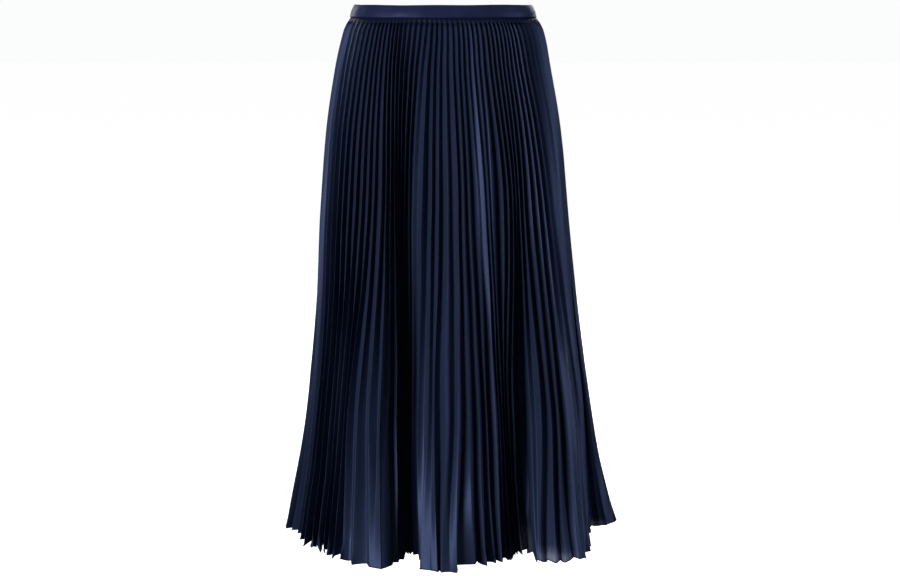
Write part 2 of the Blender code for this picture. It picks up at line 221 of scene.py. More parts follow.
PLACED_FOLDS = (
    PlacedFold(-14.0, None, (-130, -118), (-137, -162)),
    PlacedFold(-13.5, None, (-121, -111), (-127, -162)),
    PlacedFold(-13.0, None, (-116, -128), (-124, -182)),
    PlacedFold(-12.5, None, (-106, -121), (-103, -181)),
    PlacedFold(-12.0, (-84, -108), (-102, -137), (-100, -194)),
    PlacedFold(-11.5, (-81, -97), (-90, -130), (-92, -198)),
    PlacedFold(-11.0, (-78, -103), (-86, -145), (-84, -202)),
    PlacedFold(-10.5, (-76, -91), (-82, -134), (-82, -199)),
    PlacedFold(-10.0, (-72, -98), (-75, -130), (-69, -184)),
    PlacedFold(-9.5, (-70, -85), (-71, -117), (-68, -172)),
    PlacedFold(-9.0, (-66, -91), (-64, -122), (-61, -172)),
    PlacedFold(-8.5, (-64, -78), (-63, -107), (-61, -154)),
    PlacedFold(-8.0, (-62, -85), (-61, -112), (-55, -157)),
    PlacedFold(-7.5, (-60, -72), (-60, -96), (-57, -134)),
    PlacedFold(-7.0, (-58, -80), (-58, -100), (-53, -139)),
    PlacedFold(-6.5, (-56, -67), (-56, -84), (-52, -122)),
    PlacedFold(-6.0, (-53, -76), (-53, -92), (-49, -135)),
    PlacedFold(-5.5, (-50, -65), (-51, -82), (-48, -122)),
    PlacedFold(-5.0, (-47, -75), (-48, -91), (-45, -135)),
    PlacedFold(-4.5, (-44, -67), (-45, -82), (-43, -122)),
    PlacedFold(-4.0, (-42, -85), (-43, -96), (-41, -138)),
    PlacedFold(-3.5, (-35, -84), (-38, -92), (-34, -132)),
    PlacedFold(-3.0, (-29, -101), (-35, -117), (-33, -158)),
    PlacedFold(-2.5, (-22, -91), (-26, -114), (-22, -168)),
    PlacedFold(-2.0, (-16, -112), (-22, -143), (-30, -203)),
    PlacedFold(-1.5, (-11.5, -104), (-15, -139), (-19, -208)),
    PlacedFold(-1.0, (-6, -118), (-12, -152), (-8, -213)),
    PlacedFold(-0.5, (-1.5, -110), (-4, -143), (-5, -201)),
    PlacedFold(0.0, (6, -122), (4, -159), (-3, -213)),
    PlacedFold(0.5, (12.5, -114), (15, -147), (8, -212)),
    PlacedFold(1.0, (20, -123), (21, -157), (18, -213)),
    PlacedFold(1.5, (22.5, -114), (30, -144), (18, -198)),
    PlacedFold(2.0, (27, -122), (35, -155), (43, -196)),
    PlacedFold(2.5, (31.5, -112), (43, -140), (47, -178)),
    PlacedFold(3.0, (35, -119), (48, -149), (58, -190)),
    PlacedFold(3.5, (40.5, -109), (54, -134), (59, -170)),
    PlacedFold(4.0, (45, -117), (58, -143), (71, -173)),
    PlacedFold(4.5, (50, -112), (60, -129), (71, -163)),
    PlacedFold(5.0, (56, -114), (70, -138), (81, -171)),
    PlacedFold(5.5, (58, -110), (73, -122), (81, -149)),
    PlacedFold(6.0, (61, -113), (76, -131), (87, -153)),
    PlacedFold(6.5, (63, -108), (78, -116), (87, -139)),
    PlacedFold(7.0, (66, -111), (80, -126), (94, -150)),
    PlacedFold(7.5, (74, -97), (82, -110), (95, -130)),
    PlacedFold(8.0, (81, -107), (84, -120), (99, -137)),
    PlacedFold(8.5, (84, -94), (85, -104), (100, -121)),
    PlacedFold(9.0, (88, -104), (89, -117), (103, -136)),
    PlacedFold(9.5, (90, -91), (91, -102), (105, -119)),
    PlacedFold(10.0, (94, -100), (97, -113), (108, -134)),
    PlacedFold(10.5, (96, -87), (99, -92), (112, -112)),
    PlacedFold(11.0, (99, -96), (105, -97), (117, -117)),
    PlacedFold(11.5, (101, -84), (113, -86), (124, -126)),
    PlacedFold(12.0, (104, -94), (118, -106), (127, -166)),
    PlacedFold(12.5, None, (126, -104), (131, -164)),
    PlacedFold(13.0, None, (132, -122), (134, -171)),
    PlacedFold(13.5, None, (140, -110), (142, -160)),
    PlacedFold(14.0, None, (145, -123), (154, -171)),
    PlacedFold(14.5, None, (152, -109), (161, -159)),
    PlacedFold(15.0, None, (156, -121), (169, -170)),
    PlacedFold(15.5, None, (161, -107), (177, -153)),
    PlacedFold(16.0, None, (167, -116), (186, -158)),
    PlacedFold(16.5, None, (172, -112), (191, -155)),
    PlacedFold(17.0, None, (177, -108), (196, -155)),
    PlacedFold(17.5, None, (182, -86), (197, -126)),
    PlacedFold(18.0, None, (187, -84), (203, -122)),
    PlacedFold(18.5, None, (185, -66), (200, -100)),
    PlacedFold(19.0, None, (191, -62), (206, -91)),
    PlacedFold(19.5, None, (188, -46), (202, -71)),
    PlacedFold(20.0, None, (193, -42), (208, -58)),
    PlacedFold(20.5, None, (189, -26), (204, -38)),
    PlacedFold(21.0, None, (195, -21), (211, -26)),
    PlacedFold(21.5, None, (191, -8), (207, -8)),
    PlacedFold(22.0, None, (196, -3), (213, 1)),
    PlacedFold(22.5, None, (193, 4), (209, 5)),
    PlacedFold(23.0, None, (197, 8), (217, 7)),
    PlacedFold(23.5, None, (200, 5), (226, 6)),
    PlacedFold(24.0, None, (203, 6), (236, 9)),
    PlacedFold(24.5, None, (205, 11), (243, 13)),
    PlacedFold(25.0, None, (207, 18), (251, 20)),
    PlacedFold(25.5, None, None, (243, 19)),
)

EARLY_SHARES = (
    EarlyShare(4.0, 0.45),
    EarlyShare(5.0, 0.3),
)

HEM_LIFTS = (
    HemLift(0.9, 0.0),
    HemLift(1.5, 5.0),
    HemLift(2.1, 5.0),
    HemLift(2.9, 0.0),
    HemLift(23.0, 0.0),
    HemLift(24.5, 1.0),
    HemLift(25.2, 5.0),
    HemLift(26.5, 3.0),
    HemLift(28.0, 0.0),
)

RUFFLES = (
    Ruffle(-17.5, 2.6, 1.0),
    Ruffle(-14.0, 0.8, 0.5),
    Ruffle(3.2, 0.8, 0.5),
    Ruffle(6.5, 1.2, 0.6),
    Ruffle(11.0, 1.0, 0.7),
    Ruffle(14.0, 1.6, 0.4),
    Ruffle(20.0, 2.0, 0.8),
    Ruffle(25.5, 1.0, 0.4),
    Ruffle(33.0, 3.0, 0.8),
    Ruffle(44.0, 2.5, 0.7),
    Ruffle(58.0, 3.0, 0.8),
    Ruffle(70.0, 2.0, 0.6),
)

# Places where a paler colour is painted in for light shining through the hem's single layer.
PAINTED_BACKLIGHT_SPOTS = (
    PaintedBacklightSpot(10.6, 0.8, 0.045, 0.8),
    PaintedBacklightSpot(13.6, 1.1, 0.017, 0.9),
    PaintedBacklightSpot(15.2, 0.6, 0.014, 0.7),
    PaintedBacklightSpot(23.2, 0.7, 0.010, 0.9),
    PaintedBacklightSpot(40.0, 1.5, 0.015, 0.5),
    PaintedBacklightSpot(66.0, 1.5, 0.015, 0.5),
)

BACK_FOLDS = (
    BackFold(29.0, 46),
    BackFold(32.5, 2),
    BackFold(36.0, 52),
    BackFold(39.0, 6),
    BackFold(43.5, 48),
    BackFold(46.5, 0),
    BackFold(50.0, 44),
    BackFold(54.0, 4),
    BackFold(57.0, 38),
    BackFold(60.0, 0),
    BackFold(64.0, 54),
    BackFold(68.0, 3),
    BackFold(71.5, 40),
)
BACK_FOLD_SHARES = (0.0, 0.14, 0.52, 1.0)

PLEAT_SETS = (
    PleatSet(-24.0, 0.0, -0.2, -0.3, 0.9, 0.9, 0.8),
    PleatSet(-22.8, -0.1, -0.3, -0.3, 0.9, 0.9, 0.9),
    PleatSet(-21.5, -0.7, -1.2, -1.4, 1.0, 1.0, 1.0),
    PleatSet(-20.5, -1.2, -1.8, -2.0, 1.1, 1.1, 1.1),
    PleatSet(-15.5, -1.4, -1.9, -2.0, 1.1, 1.1, 1.1),
    PleatSet(-13.5, -1.3, -1.0, -0.8, 1.1, 0.9, 0.8),
    PleatSet(-12.5, -1.3, -0.6, 0.2, 1.1, 0.9, 0.8),
    PleatSet(-11.5, -1.2, -0.2, 0.2, 1.1, 0.9, 0.5),
    PleatSet(-10.5, -1.0, 0.2, 0.6, 1.0, 1.0, 0.6),
    PleatSet(-9.5, 0.0, 0.2, 0.6, 1.0, 1.0, 0.6),
    PleatSet(-8.0, 0.0, 0.0, 0.2, 1.0, 1.0, 0.9),
    PleatSet(-4.0, 0.0, -0.2, -0.4, 1.0, 1.0, 0.9),
    PleatSet(-2.5, -0.2, -0.6, -0.9, 1.0, 0.9, 0.6),
    PleatSet(-1.5, -0.2, -0.3, -1.0, 1.0, 0.8, 0.45),
    PleatSet(-0.5, -0.2, 0.0, -0.95, 1.0, 0.9, 0.45),
    PleatSet(0.5, 0.0, 0.85, 0.0, 1.0, 0.9, 0.2),
    PleatSet(1.5, 0.0, 0.35, -0.6, 1.0, 1.0, 0.6),
    PleatSet(2.5, 0.0, 0.35, -0.7, 1.0, 1.0, 0.8),
    PleatSet(4.5, -0.8, -0.7, -0.3, 0.7, 0.8, 0.8),
    PleatSet(5.5, -0.3, 0.5, 0.5, 1.0, 1.0, 0.9),
    PleatSet(7.0, 0.2, 0.5, 0.4, 1.0, 1.0, 0.9),
    PleatSet(10.0, 0.0, 0.0, 0.0, 1.0, 1.0, 1.0),
    PleatSet(13.5, -0.2, 0.3, 0.2, 1.0, 1.0, 0.9),
    PleatSet(14.5, 0.0, 0.1, -0.3, 1.0, 1.0, 0.8),
    PleatSet(15.5, 0.0, 0.0, 0.0, 1.0, 1.0, 0.8),
    PleatSet(16.5, -0.2, -0.6, -0.9, 0.9, 0.8, 0.5),
    PleatSet(18.5, -0.8, 0.3, 0.3, 0.6, 1.0, 0.9),
    PleatSet(21.5, -0.9, 0.3, 0.3, 0.35, 0.9, 0.9),
    PleatSet(23.5, -0.9, -0.4, -0.8, 0.3, 0.5, 0.4),
    PleatSet(26.0, -0.7, -0.4, -0.5, 0.5, 0.7, 0.6),
    PleatSet(30.0, 0.3, 0.4, 0.5, 1.0, 1.0, 0.9),
    PleatSet(34.0, -0.2, -0.5, -0.7, 0.9, 0.8, 0.7),
    PleatSet(39.0, 0.2, 0.5, 0.7, 1.0, 0.9, 0.6),
    PleatSet(44.0, 0.0, -0.2, 0.1, 1.0, 1.0, 1.0),
    PleatSet(47.0, -0.2, -0.5, -0.8, 1.0, 0.9, 0.6),
    PleatSet(53.0, 0.2, 0.4, 0.7, 1.0, 0.9, 0.6),
    PleatSet(57.0, -0.1, 0.1, -0.1, 1.0, 1.0, 1.0),
    PleatSet(61.0, -0.2, -0.5, -0.8, 0.9, 0.9, 0.6),
    PleatSet(66.0, 0.3, 0.5, 0.7, 1.0, 0.9, 0.7),
    PleatSet(72.0, -0.1, -0.3, 0.2, 1.0, 1.0, 1.0),
)


# ---------------------------------------------------------------- smooth readings of the tables

def slopes(knots: np.ndarray, values: np.ndarray) -> np.ndarray:
    """Shape-preserving slopes at the knots, so that a curve between them has no bump of its own.

    Args:
        knots: places of the values, growing.
        values: one row for each knot.

    Returns:
        One row of slopes for each knot.
    """
    gaps = np.diff(knots).reshape(-1, *[1] * (values.ndim - 1))
    rises = np.diff(values, axis=0) / gaps
    before, after = rises[:-1], rises[1:]
    same_way = before * after > 0
    total = np.where(same_way, before + after, 1.0)
    inner = np.zeros_like(values)
    inner[1:-1] = np.where(same_way, 2.0 * before * after / total, 0.0)
    inner[0], inner[-1] = rises[0], rises[-1]
    return inner


def smooth_slopes(knots: np.ndarray, values: np.ndarray) -> np.ndarray:
    """Slopes through the neighbours on both sides, for outlines that turn freely.

    Args:
        knots: places of the values, growing.
        values: one row for each knot.

    Returns:
        One row of slopes for each knot.
    """
    gaps = np.diff(knots)[:, None]
    rises = np.diff(values, axis=0) / gaps
    before, after = gaps[:-1], gaps[1:]
    inner = np.zeros_like(values)
    inner[1:-1] = (rises[:-1] * after + rises[1:] * before) / (before + after)
    inner[0], inner[-1] = rises[0], rises[-1]
    return inner


def read_curve(
    knots: np.ndarray, values: np.ndarray, tangents: np.ndarray, at: Sequence[float]
) -> np.ndarray:
    """Cubic Hermite curve through the values.

    Args:
        knots: places of the values, growing.
        values: one row for each knot.
        tangents: one row of slopes for each knot.
        at: places to read the curve at.

    Returns:
        One row for each place read.
    """
    at = np.asarray(at, float)
    span = np.clip(np.searchsorted(knots, at, side="right") - 1, 0, len(knots) - 2)
    gap = knots[span + 1] - knots[span]
    t = (at - knots[span]) / gap
    shape = (-1,) + (1,) * (values.ndim - 1)
    t, gap = t.reshape(shape), gap.reshape(shape)
    return (
        (2 * t**3 - 3 * t**2 + 1) * values[span]
        + (t**3 - 2 * t**2 + t) * gap * tangents[span]
        + (3 * t**2 - 2 * t**3) * values[span + 1]
        + (t**3 - t**2) * gap * tangents[span + 1]
    )


def read_down(drops: Sequence[float], values: np.ndarray, drop: float) -> np.ndarray:
    """Reads a table of levels at one drop, and holds its ends beyond them.

    Args:
        drops: drops of the levels, growing.
        values: one row for each level.
        drop: drop to read at.

    Returns:
        The row at that drop.
    """
    knots = np.asarray(drops, float)
    place = np.clip(drop, knots[0], knots[-1])
    return read_curve(knots, values, slopes(knots, values), [place])[0]


def ramp(value: np.ndarray | float, low: float, high: float) -> np.ndarray | float:
    """Smooth rise from 0 at low to 1 at high.

    Args:
        value: one number or an array of them.
        low: where the rise starts.
        high: where it ends.

    Returns:
        The rise at each value.
    """
    t = np.clip((value - low) / (high - low), 0.0, 1.0)
    return t * t * (3.0 - 2.0 * t)


def lengths_along(line: np.ndarray) -> np.ndarray:
    """Length of a line up to each of its points."""
    return np.concatenate([[0.0], np.cumsum(np.linalg.norm(np.diff(line, axis=0), axis=1))])


def folds_between(first: float, last: float) -> np.ndarray:
    """Pleat numbers of the folds from the first to the last, in steps of a half."""
    return np.arange(first, last + 0.25, 0.5)


@dataclass
class SlowNoise:
    """Uneven but smooth wandering along the height, different for each fold."""

    seed: int
    count: int
    waves: tuple[float, ...] = (1.3, 2.9, 6.1)
    sizes: tuple[float, ...] = (1.0, 0.6, 0.35)
    usual_total: float = 1.3

    def __post_init__(self) -> None:
        """Draws the phases and sizes of each fold's waves."""
        source = np.random.default_rng(self.seed)
        self.phases = source.uniform(0.0, FULL_TURN, (len(self.waves), self.count))
        self.strengths = source.normal(0.0, 1.0, (len(self.waves), self.count))

    def at(self, drop: float) -> np.ndarray:
        """One number for each fold at a drop, mostly from -1 to 1.

        Args:
            drop: drop below the origin.

        Returns:
            The folds' numbers.
        """
        total = np.zeros(self.count)
        for wave, size, phase, strength in zip(self.waves, self.sizes, self.phases, self.strengths):
            total += size * strength * np.sin(FULL_TURN * wave * drop + phase)
        return total / self.usual_total


# ---------------------------------------------------------------- the skirt's form

@dataclass
class SkirtForm:
    """The worn form of the whole skirt, from which every panel takes its folds."""

    pleats: int = 100
    length: float = 0.741
    face_at_waist: float = 0.0060
    face_at_hem: float = 0.0200
    usual_depth_share: float = 0.8
    flattest_pleat: float = 0.30
    sharpest_fold: float = math.radians(24.0)
    widest_turn: float = math.radians(144.0)
    rounding_steps: tuple[float, ...] = (-1.0, -0.5, 0.0, 0.5, 1.0)
    rounding_weights: tuple[int, ...] = (2, 3, 3, 3, 2)
    waist_steps: int = 720
    waist_lean: float = 0.6
    pinch_drops: Pair = (0.0125, 0.0180)
    pinched_depth: float = 0.15
    pinch_inset: float = 0.0007
    waist_dip: float = 0.0045
    dip_power: float = 1.5
    dip_drops: Pair = (0.01, 0.30)

    def __post_init__(self) -> None:
        """Prepares the tables for reading."""
        rows = self.fold_rows()
        places = np.array([place for _, place in rows]).reshape(len(rows), -1)
        self.fold_knots = self.all_round(np.array([pleat for pleat, _ in rows]))
        self.fold_places = np.concatenate([places] * 3)
        self.fold_slopes = smooth_slopes(self.fold_knots, self.fold_places)
        sets = np.array(PLEAT_SETS)
        self.set_knots = self.all_round(sets[:, 0])
        self.set_values = np.concatenate([sets[:, 1:]] * 3)
        self.set_slopes = slopes(self.set_knots, self.set_values)
        self.fold_numbers = folds_between(-0.5 * self.pleats, 0.5 * self.pleats - 0.5)
        # The shifts are measured from the pleats' own rule, which is read while they are still nought.
        self.shifts = np.zeros((len(SHIFT_DROPS), len(self.fold_numbers), 2))
        self.shifts = self.placed_shifts()

    def all_round(self, knots: np.ndarray) -> np.ndarray:
        """The same knots one turn before, in place and one turn after."""
        return np.concatenate([knots - self.pleats, knots, knots + self.pleats])

    def index_of(self, pleats: np.ndarray | float) -> np.ndarray:
        """Row of each fold in the table of shifts."""
        return np.round(2.0 * np.asarray(pleats) + self.pleats).astype(int) % len(self.fold_numbers)

    def placed_shifts(self) -> np.ndarray:
        """How far each placed fold lies from where the pleats' own rule puts it.

        Returns:
            One shift for each level and fold, in metres.
        """
        shifts = np.zeros_like(self.shifts)
        usual = [self.corners(self.fold_numbers, drop) for drop in SHIFT_DROPS[HIP_SHIFT:]]
        for fold in PLACED_FOLDS:
            index = self.index_of(fold.pleat)
            for level, place in enumerate((fold.hip, fold.knee, fold.hem)):
                if place is not None:
                    shifts[HIP_SHIFT + level, index] = MM * np.array(place) - usual[level][index]
        early = np.interp(self.fold_numbers, *np.array(EARLY_SHARES).T)
        shifts[HIP_SHIFT - 1] = early[:, None] * shifts[HIP_SHIFT]
        return shifts

    def section_at(self, drop: float) -> np.ndarray:
        """Half width, half depth and shift of the plain form.

        Args:
            drop: drop below the origin.

        Returns:
            The three numbers, in metres.
        """
        table = np.array(SECTIONS)
        return read_down(table[:, 0], table[:, 1:], drop)

    def share_down(self, drop: float) -> float:
        """How far a drop is from the waist's level, 0, to the hem, 1."""
        return (drop - LEVEL_DROPS[0]) / (LEVEL_DROPS[-1] - LEVEL_DROPS[0])

    def face_width(self, drop: float) -> float:
        """Cloth width of one pleat face at a drop."""
        return self.face_at_waist + (self.face_at_hem - self.face_at_waist) * self.share_down(drop)

    def usual_depth(self, drop: float) -> float:
        """Depth of an average pleat at a drop."""
        return self.usual_depth_share * self.face_width(drop)

    def plain_turn(self, pleat: float) -> float:
        """Angle at which a pleat stands on the waist's ellipse, in equal arcs.

        Args:
            pleat: pleat number.

        Returns:
            Angle from the centre front, in radians.
        """
        angles = np.linspace(0.0, FULL_TURN, self.waist_steps + 1)
        outline = np.column_stack([WAIST.half_width * np.sin(angles), WAIST.half_depth * np.cos(angles)])
        arcs = lengths_along(outline)
        return float(np.interp(pleat / self.pleats, arcs / arcs[-1], angles))

    def fold_rows(self) -> list[tuple[float, list[Pair]]]:
        """Turns of the larger folds at the four levels.

        Returns:
            Each turn's pleat and its four places, in shares of the plain form.
        """
        rows = []
        levels = [self.section_at(drop) for drop in LEVEL_DROPS]
        insets = [0.5 * self.usual_depth(drop) for drop in LEVEL_DROPS]
        for fold in FRONT_FOLDS:
            across = MM * np.array([fold.waist_x, fold.hip_x, fold.knee_x, fold.hem_x])
            front = MM * np.array([0.0, fold.hip_y, fold.knee_y, fold.hem_y])
            place = [
                ((x - shift) / (width - inset), y / (depth - inset))
                for x, y, (width, depth, shift), inset in zip(across, front, levels, insets)
            ]
            side = min(1.0, abs(place[0][0]))
            place[0] = (math.copysign(side, place[0][0]), -math.sqrt(1.0 - side**2))
            rows.append((fold.pleat, place))
        for fold in BACK_FOLDS:
            turn = self.plain_turn(fold.pleat)
            place = []
            for (width, depth, _), share in zip(levels, BACK_FOLD_SHARES):
                radius = math.hypot(width * math.sin(turn), depth * math.cos(turn))
                reach = 1.0 - share * fold.inward * MM / radius
                place.append((reach * math.sin(turn), -reach * math.cos(turn)))
            rows.append((fold.pleat, place))
        return rows

    def fold_line(self, pleats: np.ndarray, drop: float) -> np.ndarray:
        """Line through the turns of the larger folds.

        Args:
            pleats: pleat numbers to read the line at.
            drop: drop below the origin.

        Returns:
            One point for each pleat number, seen from above.
        """
        levels = read_curve(self.fold_knots, self.fold_places, self.fold_slopes, pleats)
        levels = np.moveaxis(levels.reshape(len(pleats), len(LEVEL_DROPS), 2), 1, 0)
        shares = read_down(LEVEL_DROPS, levels, drop)
        width, depth, shift = self.section_at(drop)
        inset = 0.5 * self.usual_depth(drop)
        return np.column_stack([shift + (width - inset) * shares[:, 0], (depth - inset) * shares[:, 1]])

    def mean_line(self, pleats: np.ndarray, drop: float) -> np.ndarray:
        """The cloth's middle line, its turns rounded, before the pleats are folded into it.

        Args:
            pleats: pleat numbers to read the line at.
            drop: drop below the origin.

        Returns:
            One point for each pleat number, seen from above.
        """
        total = np.zeros((len(pleats), 2))
        for step, weight in zip(self.rounding_steps, self.rounding_weights):
            total += weight * self.fold_line(pleats + step, drop)
        return total / sum(self.rounding_weights)

    def setting(self, pleats: np.ndarray, drop: float) -> tuple[np.ndarray, np.ndarray]:
        """Lean and fullness of the pleats.

        Args:
            pleats: pleat numbers.
            drop: drop below the origin.

        Returns:
            The lean and the fullness of each pleat.
        """
        values = read_curve(self.set_knots, self.set_values, self.set_slopes, pleats).T
        leans, fulls = values[:3], values[3:]
        leans = np.vstack([self.waist_lean * leans[:1], leans])
        fulls = np.vstack([np.ones((1, len(pleats))), fulls])
        return read_down(LEVEL_DROPS, leans, drop), read_down(LEVEL_DROPS, fulls, drop)

    def dip(self, pleats: np.ndarray, drop: float) -> np.ndarray:
        """How much lower the cloth lies towards the centre back, where a waist is lower.

        Args:
            pleats: pleat numbers.
            drop: drop below the origin.

        Returns:
            The dip of each pleat.
        """
        back = 0.5 - 0.5 * np.cos(FULL_TURN * pleats / self.pleats)
        return self.waist_dip * back**self.dip_power * (1.0 - ramp(drop, *self.dip_drops))

    def fold_depth(self, drop: float, pitch: np.ndarray, turn: np.ndarray) -> np.ndarray:
        """Depth that the cloth of a pleat gives, and less where the pleat would be too sharp.

        Args:
            drop: drop below the origin.
            pitch: width of each pleat along the middle line.
            turn: how far that line turns over the pleat, in radians.

        Returns:
            The depth of each pleat.
        """
        face = self.face_width(drop)
        depth = np.sqrt(np.maximum(face**2 - (0.5 * pitch) ** 2, (self.flattest_pleat * face) ** 2))
        sharpest = np.minimum(self.sharpest_fold + turn, self.widest_turn)
        return np.minimum(depth, 0.5 * pitch / np.tan(0.5 * sharpest))

    def corners(
        self,
        pleats: np.ndarray,
        drop: float,
        wander: np.ndarray | float = 0.0,
        swell: np.ndarray | float = 1.0,
    ) -> np.ndarray:
        """Outer and inner folds in turn.

        Args:
            pleats: pleat numbers in steps of a half.
            drop: drop below the origin.
            wander: sideways shift of each fold, as a share of half a pleat.
            swell: what each pleat's depth is multiplied by.

        Returns:
            One point for each fold, seen from above.
        """
        line = self.mean_line(pleats, drop)
        ahead = self.mean_line(pleats + 0.5, drop) - line
        behind = line - self.mean_line(pleats - 0.5, drop)
        along = ahead + behind
        pitch = np.linalg.norm(along, axis=1)
        along /= pitch[:, None]
        outward = np.column_stack([along[:, 1], -along[:, 0]])
        turn = 2.0 * np.abs(np.arctan2(np.cross(behind, ahead), (behind * ahead).sum(axis=1)))
        lean, full = self.setting(pleats, drop)
        depth = self.fold_depth(drop, pitch, turn) * swell
        pinch = 1.0 - ramp(drop, *self.pinch_drops)
        top = 0.5 * depth
        depth *= 1.0 - (1.0 - self.pinched_depth) * pinch
        inner = np.abs(pleats - np.round(pleats)) > 0.25
        drift = np.where(inner, lean, 0.0) + wander
        drift[0] = drift[-1] = 0.0
        reach = top - np.where(inner, full * depth, 0.0) - self.pinch_inset * pinch
        points = line + outward * reach[:, None]
        points += along * (0.5 * pitch * drift)[:, None]
        points += read_down(SHIFT_DROPS, self.shifts, drop)[self.index_of(pleats)]
        points[0] += along[0] * 0.5 * SEAM_GAP
        points[-1] -= along[-1] * 0.5 * SEAM_GAP
        return points


# ---------------------------------------------------------------- finishes

class Nodes:
    """Small helper that adds the shader nodes of one material and joins them."""

    def __init__(self, name: str) -> None:
        """Starts a material that has one shader and its output.

        Args:
            name: name of the material.
        """
        self.material = bpy.data.materials.new(name)
        self.material.use_nodes = True
        self.tree = self.material.node_tree
        self.shader = self.tree.nodes["Principled BSDF"]

    def add(self, kind: str, values: dict[str, object] | None = None, **settings: object) -> bpy.types.Node:
        """Adds a node.

        Args:
            kind: Blender's name of the node.
            values: values of its input sockets.
            settings: its own properties.

        Returns:
            The new node.
        """
        node = self.tree.nodes.new(kind)
        for name, value in settings.items():
            setattr(node, name, value)
        for name, value in (values or {}).items():
            node.inputs[name].default_value = value
        return node

    def join(self, start: Socket, end: Socket) -> None:
        """Joins an output to an input."""
        self.tree.links.new(start, end)

    def feed(self, name: str, value: Socket) -> None:
        """Joins a value to the shader's socket of that name."""
        self.join(value, self.shader.inputs[name])

    def fix(self, values: dict[str, object]) -> None:
        """Sets the shader's sockets of those names to values that hold all over the surface."""
        for name, value in values.items():
            self.shader.inputs[name].default_value = value

    def body_place(self) -> Socket:
        """Place on the piece, in metres."""
        return self.add("ShaderNodeTexCoord").outputs["Object"]

    def mark(self, name: str) -> Socket:
        """Named number that the mesh holds for each vertex."""
        return self.add("ShaderNodeAttribute", attribute_name=name).outputs["Fac"]

    def noise(self, place: Socket, per_metre: Triple, octaves: float, harshness: float = 0.5) -> Socket:
        """Soft noise.

        Args:
            place: where it is read.
            per_metre: how many of its cells fit in a metre, along each axis.
            octaves: number of finer noises in it.
            harshness: strength of the finer noises.

        Returns:
            The noise's socket, mostly from 0.25 to 0.75.
        """
        cells = self.add("ShaderNodeMapping", {"Scale": per_metre})
        self.join(place, cells.inputs["Vector"])
        noise = self.add("ShaderNodeTexNoise", {"Scale": 1.0, "Detail": octaves, "Roughness": harshness})
        self.join(cells.outputs["Vector"], noise.inputs["Vector"])
        return noise.outputs["Fac"]

    def blend(self, share: Socket, low: Socket | Colour, high: Colour) -> Socket:
        """Colour that runs from one colour to another.

        Args:
            share: 0 for the first colour, 1 for the second.
            low: first colour, or the socket that gives it.
            high: second colour.

        Returns:
            The colour's socket.
        """
        mix = self.add("ShaderNodeMix", data_type="RGBA")
        self.join(share, mix.inputs["Factor"])
        if isinstance(low, Socket):
            self.join(low, mix.inputs["A"])
        else:
            mix.inputs["A"].default_value = (*low, 1.0)
        mix.inputs["B"].default_value = (*high, 1.0)
        return mix.outputs["Result"]

    def spread(self, value: Socket, ends: Pair = (0.0, 1.0), to: Pair = (0.0, 1.0)) -> Socket:
        """Range of a value brought to another range.

        Args:
            value: the value.
            ends: its lower and upper end.
            to: what the two ends become.

        Returns:
            The new value's socket.
        """
        values = {"From Min": ends[0], "From Max": ends[1], "To Min": to[0], "To Max": to[1]}
        node = self.add("ShaderNodeMapRange", values)
        self.join(value, node.inputs["Value"])
        return node.outputs["Result"]

    def relief(self, height: Socket, strength: float, depth: float) -> None:
        """Raises the surface where a value is high.

        Args:
            height: the value.
            strength: share of the relief that shows.
            depth: height of the relief, in metres.
        """
        bump = self.add("ShaderNodeBump", {"Strength": strength, "Distance": depth})
        self.join(height, bump.inputs["Height"])
        self.feed("Normal", bump.outputs["Normal"])


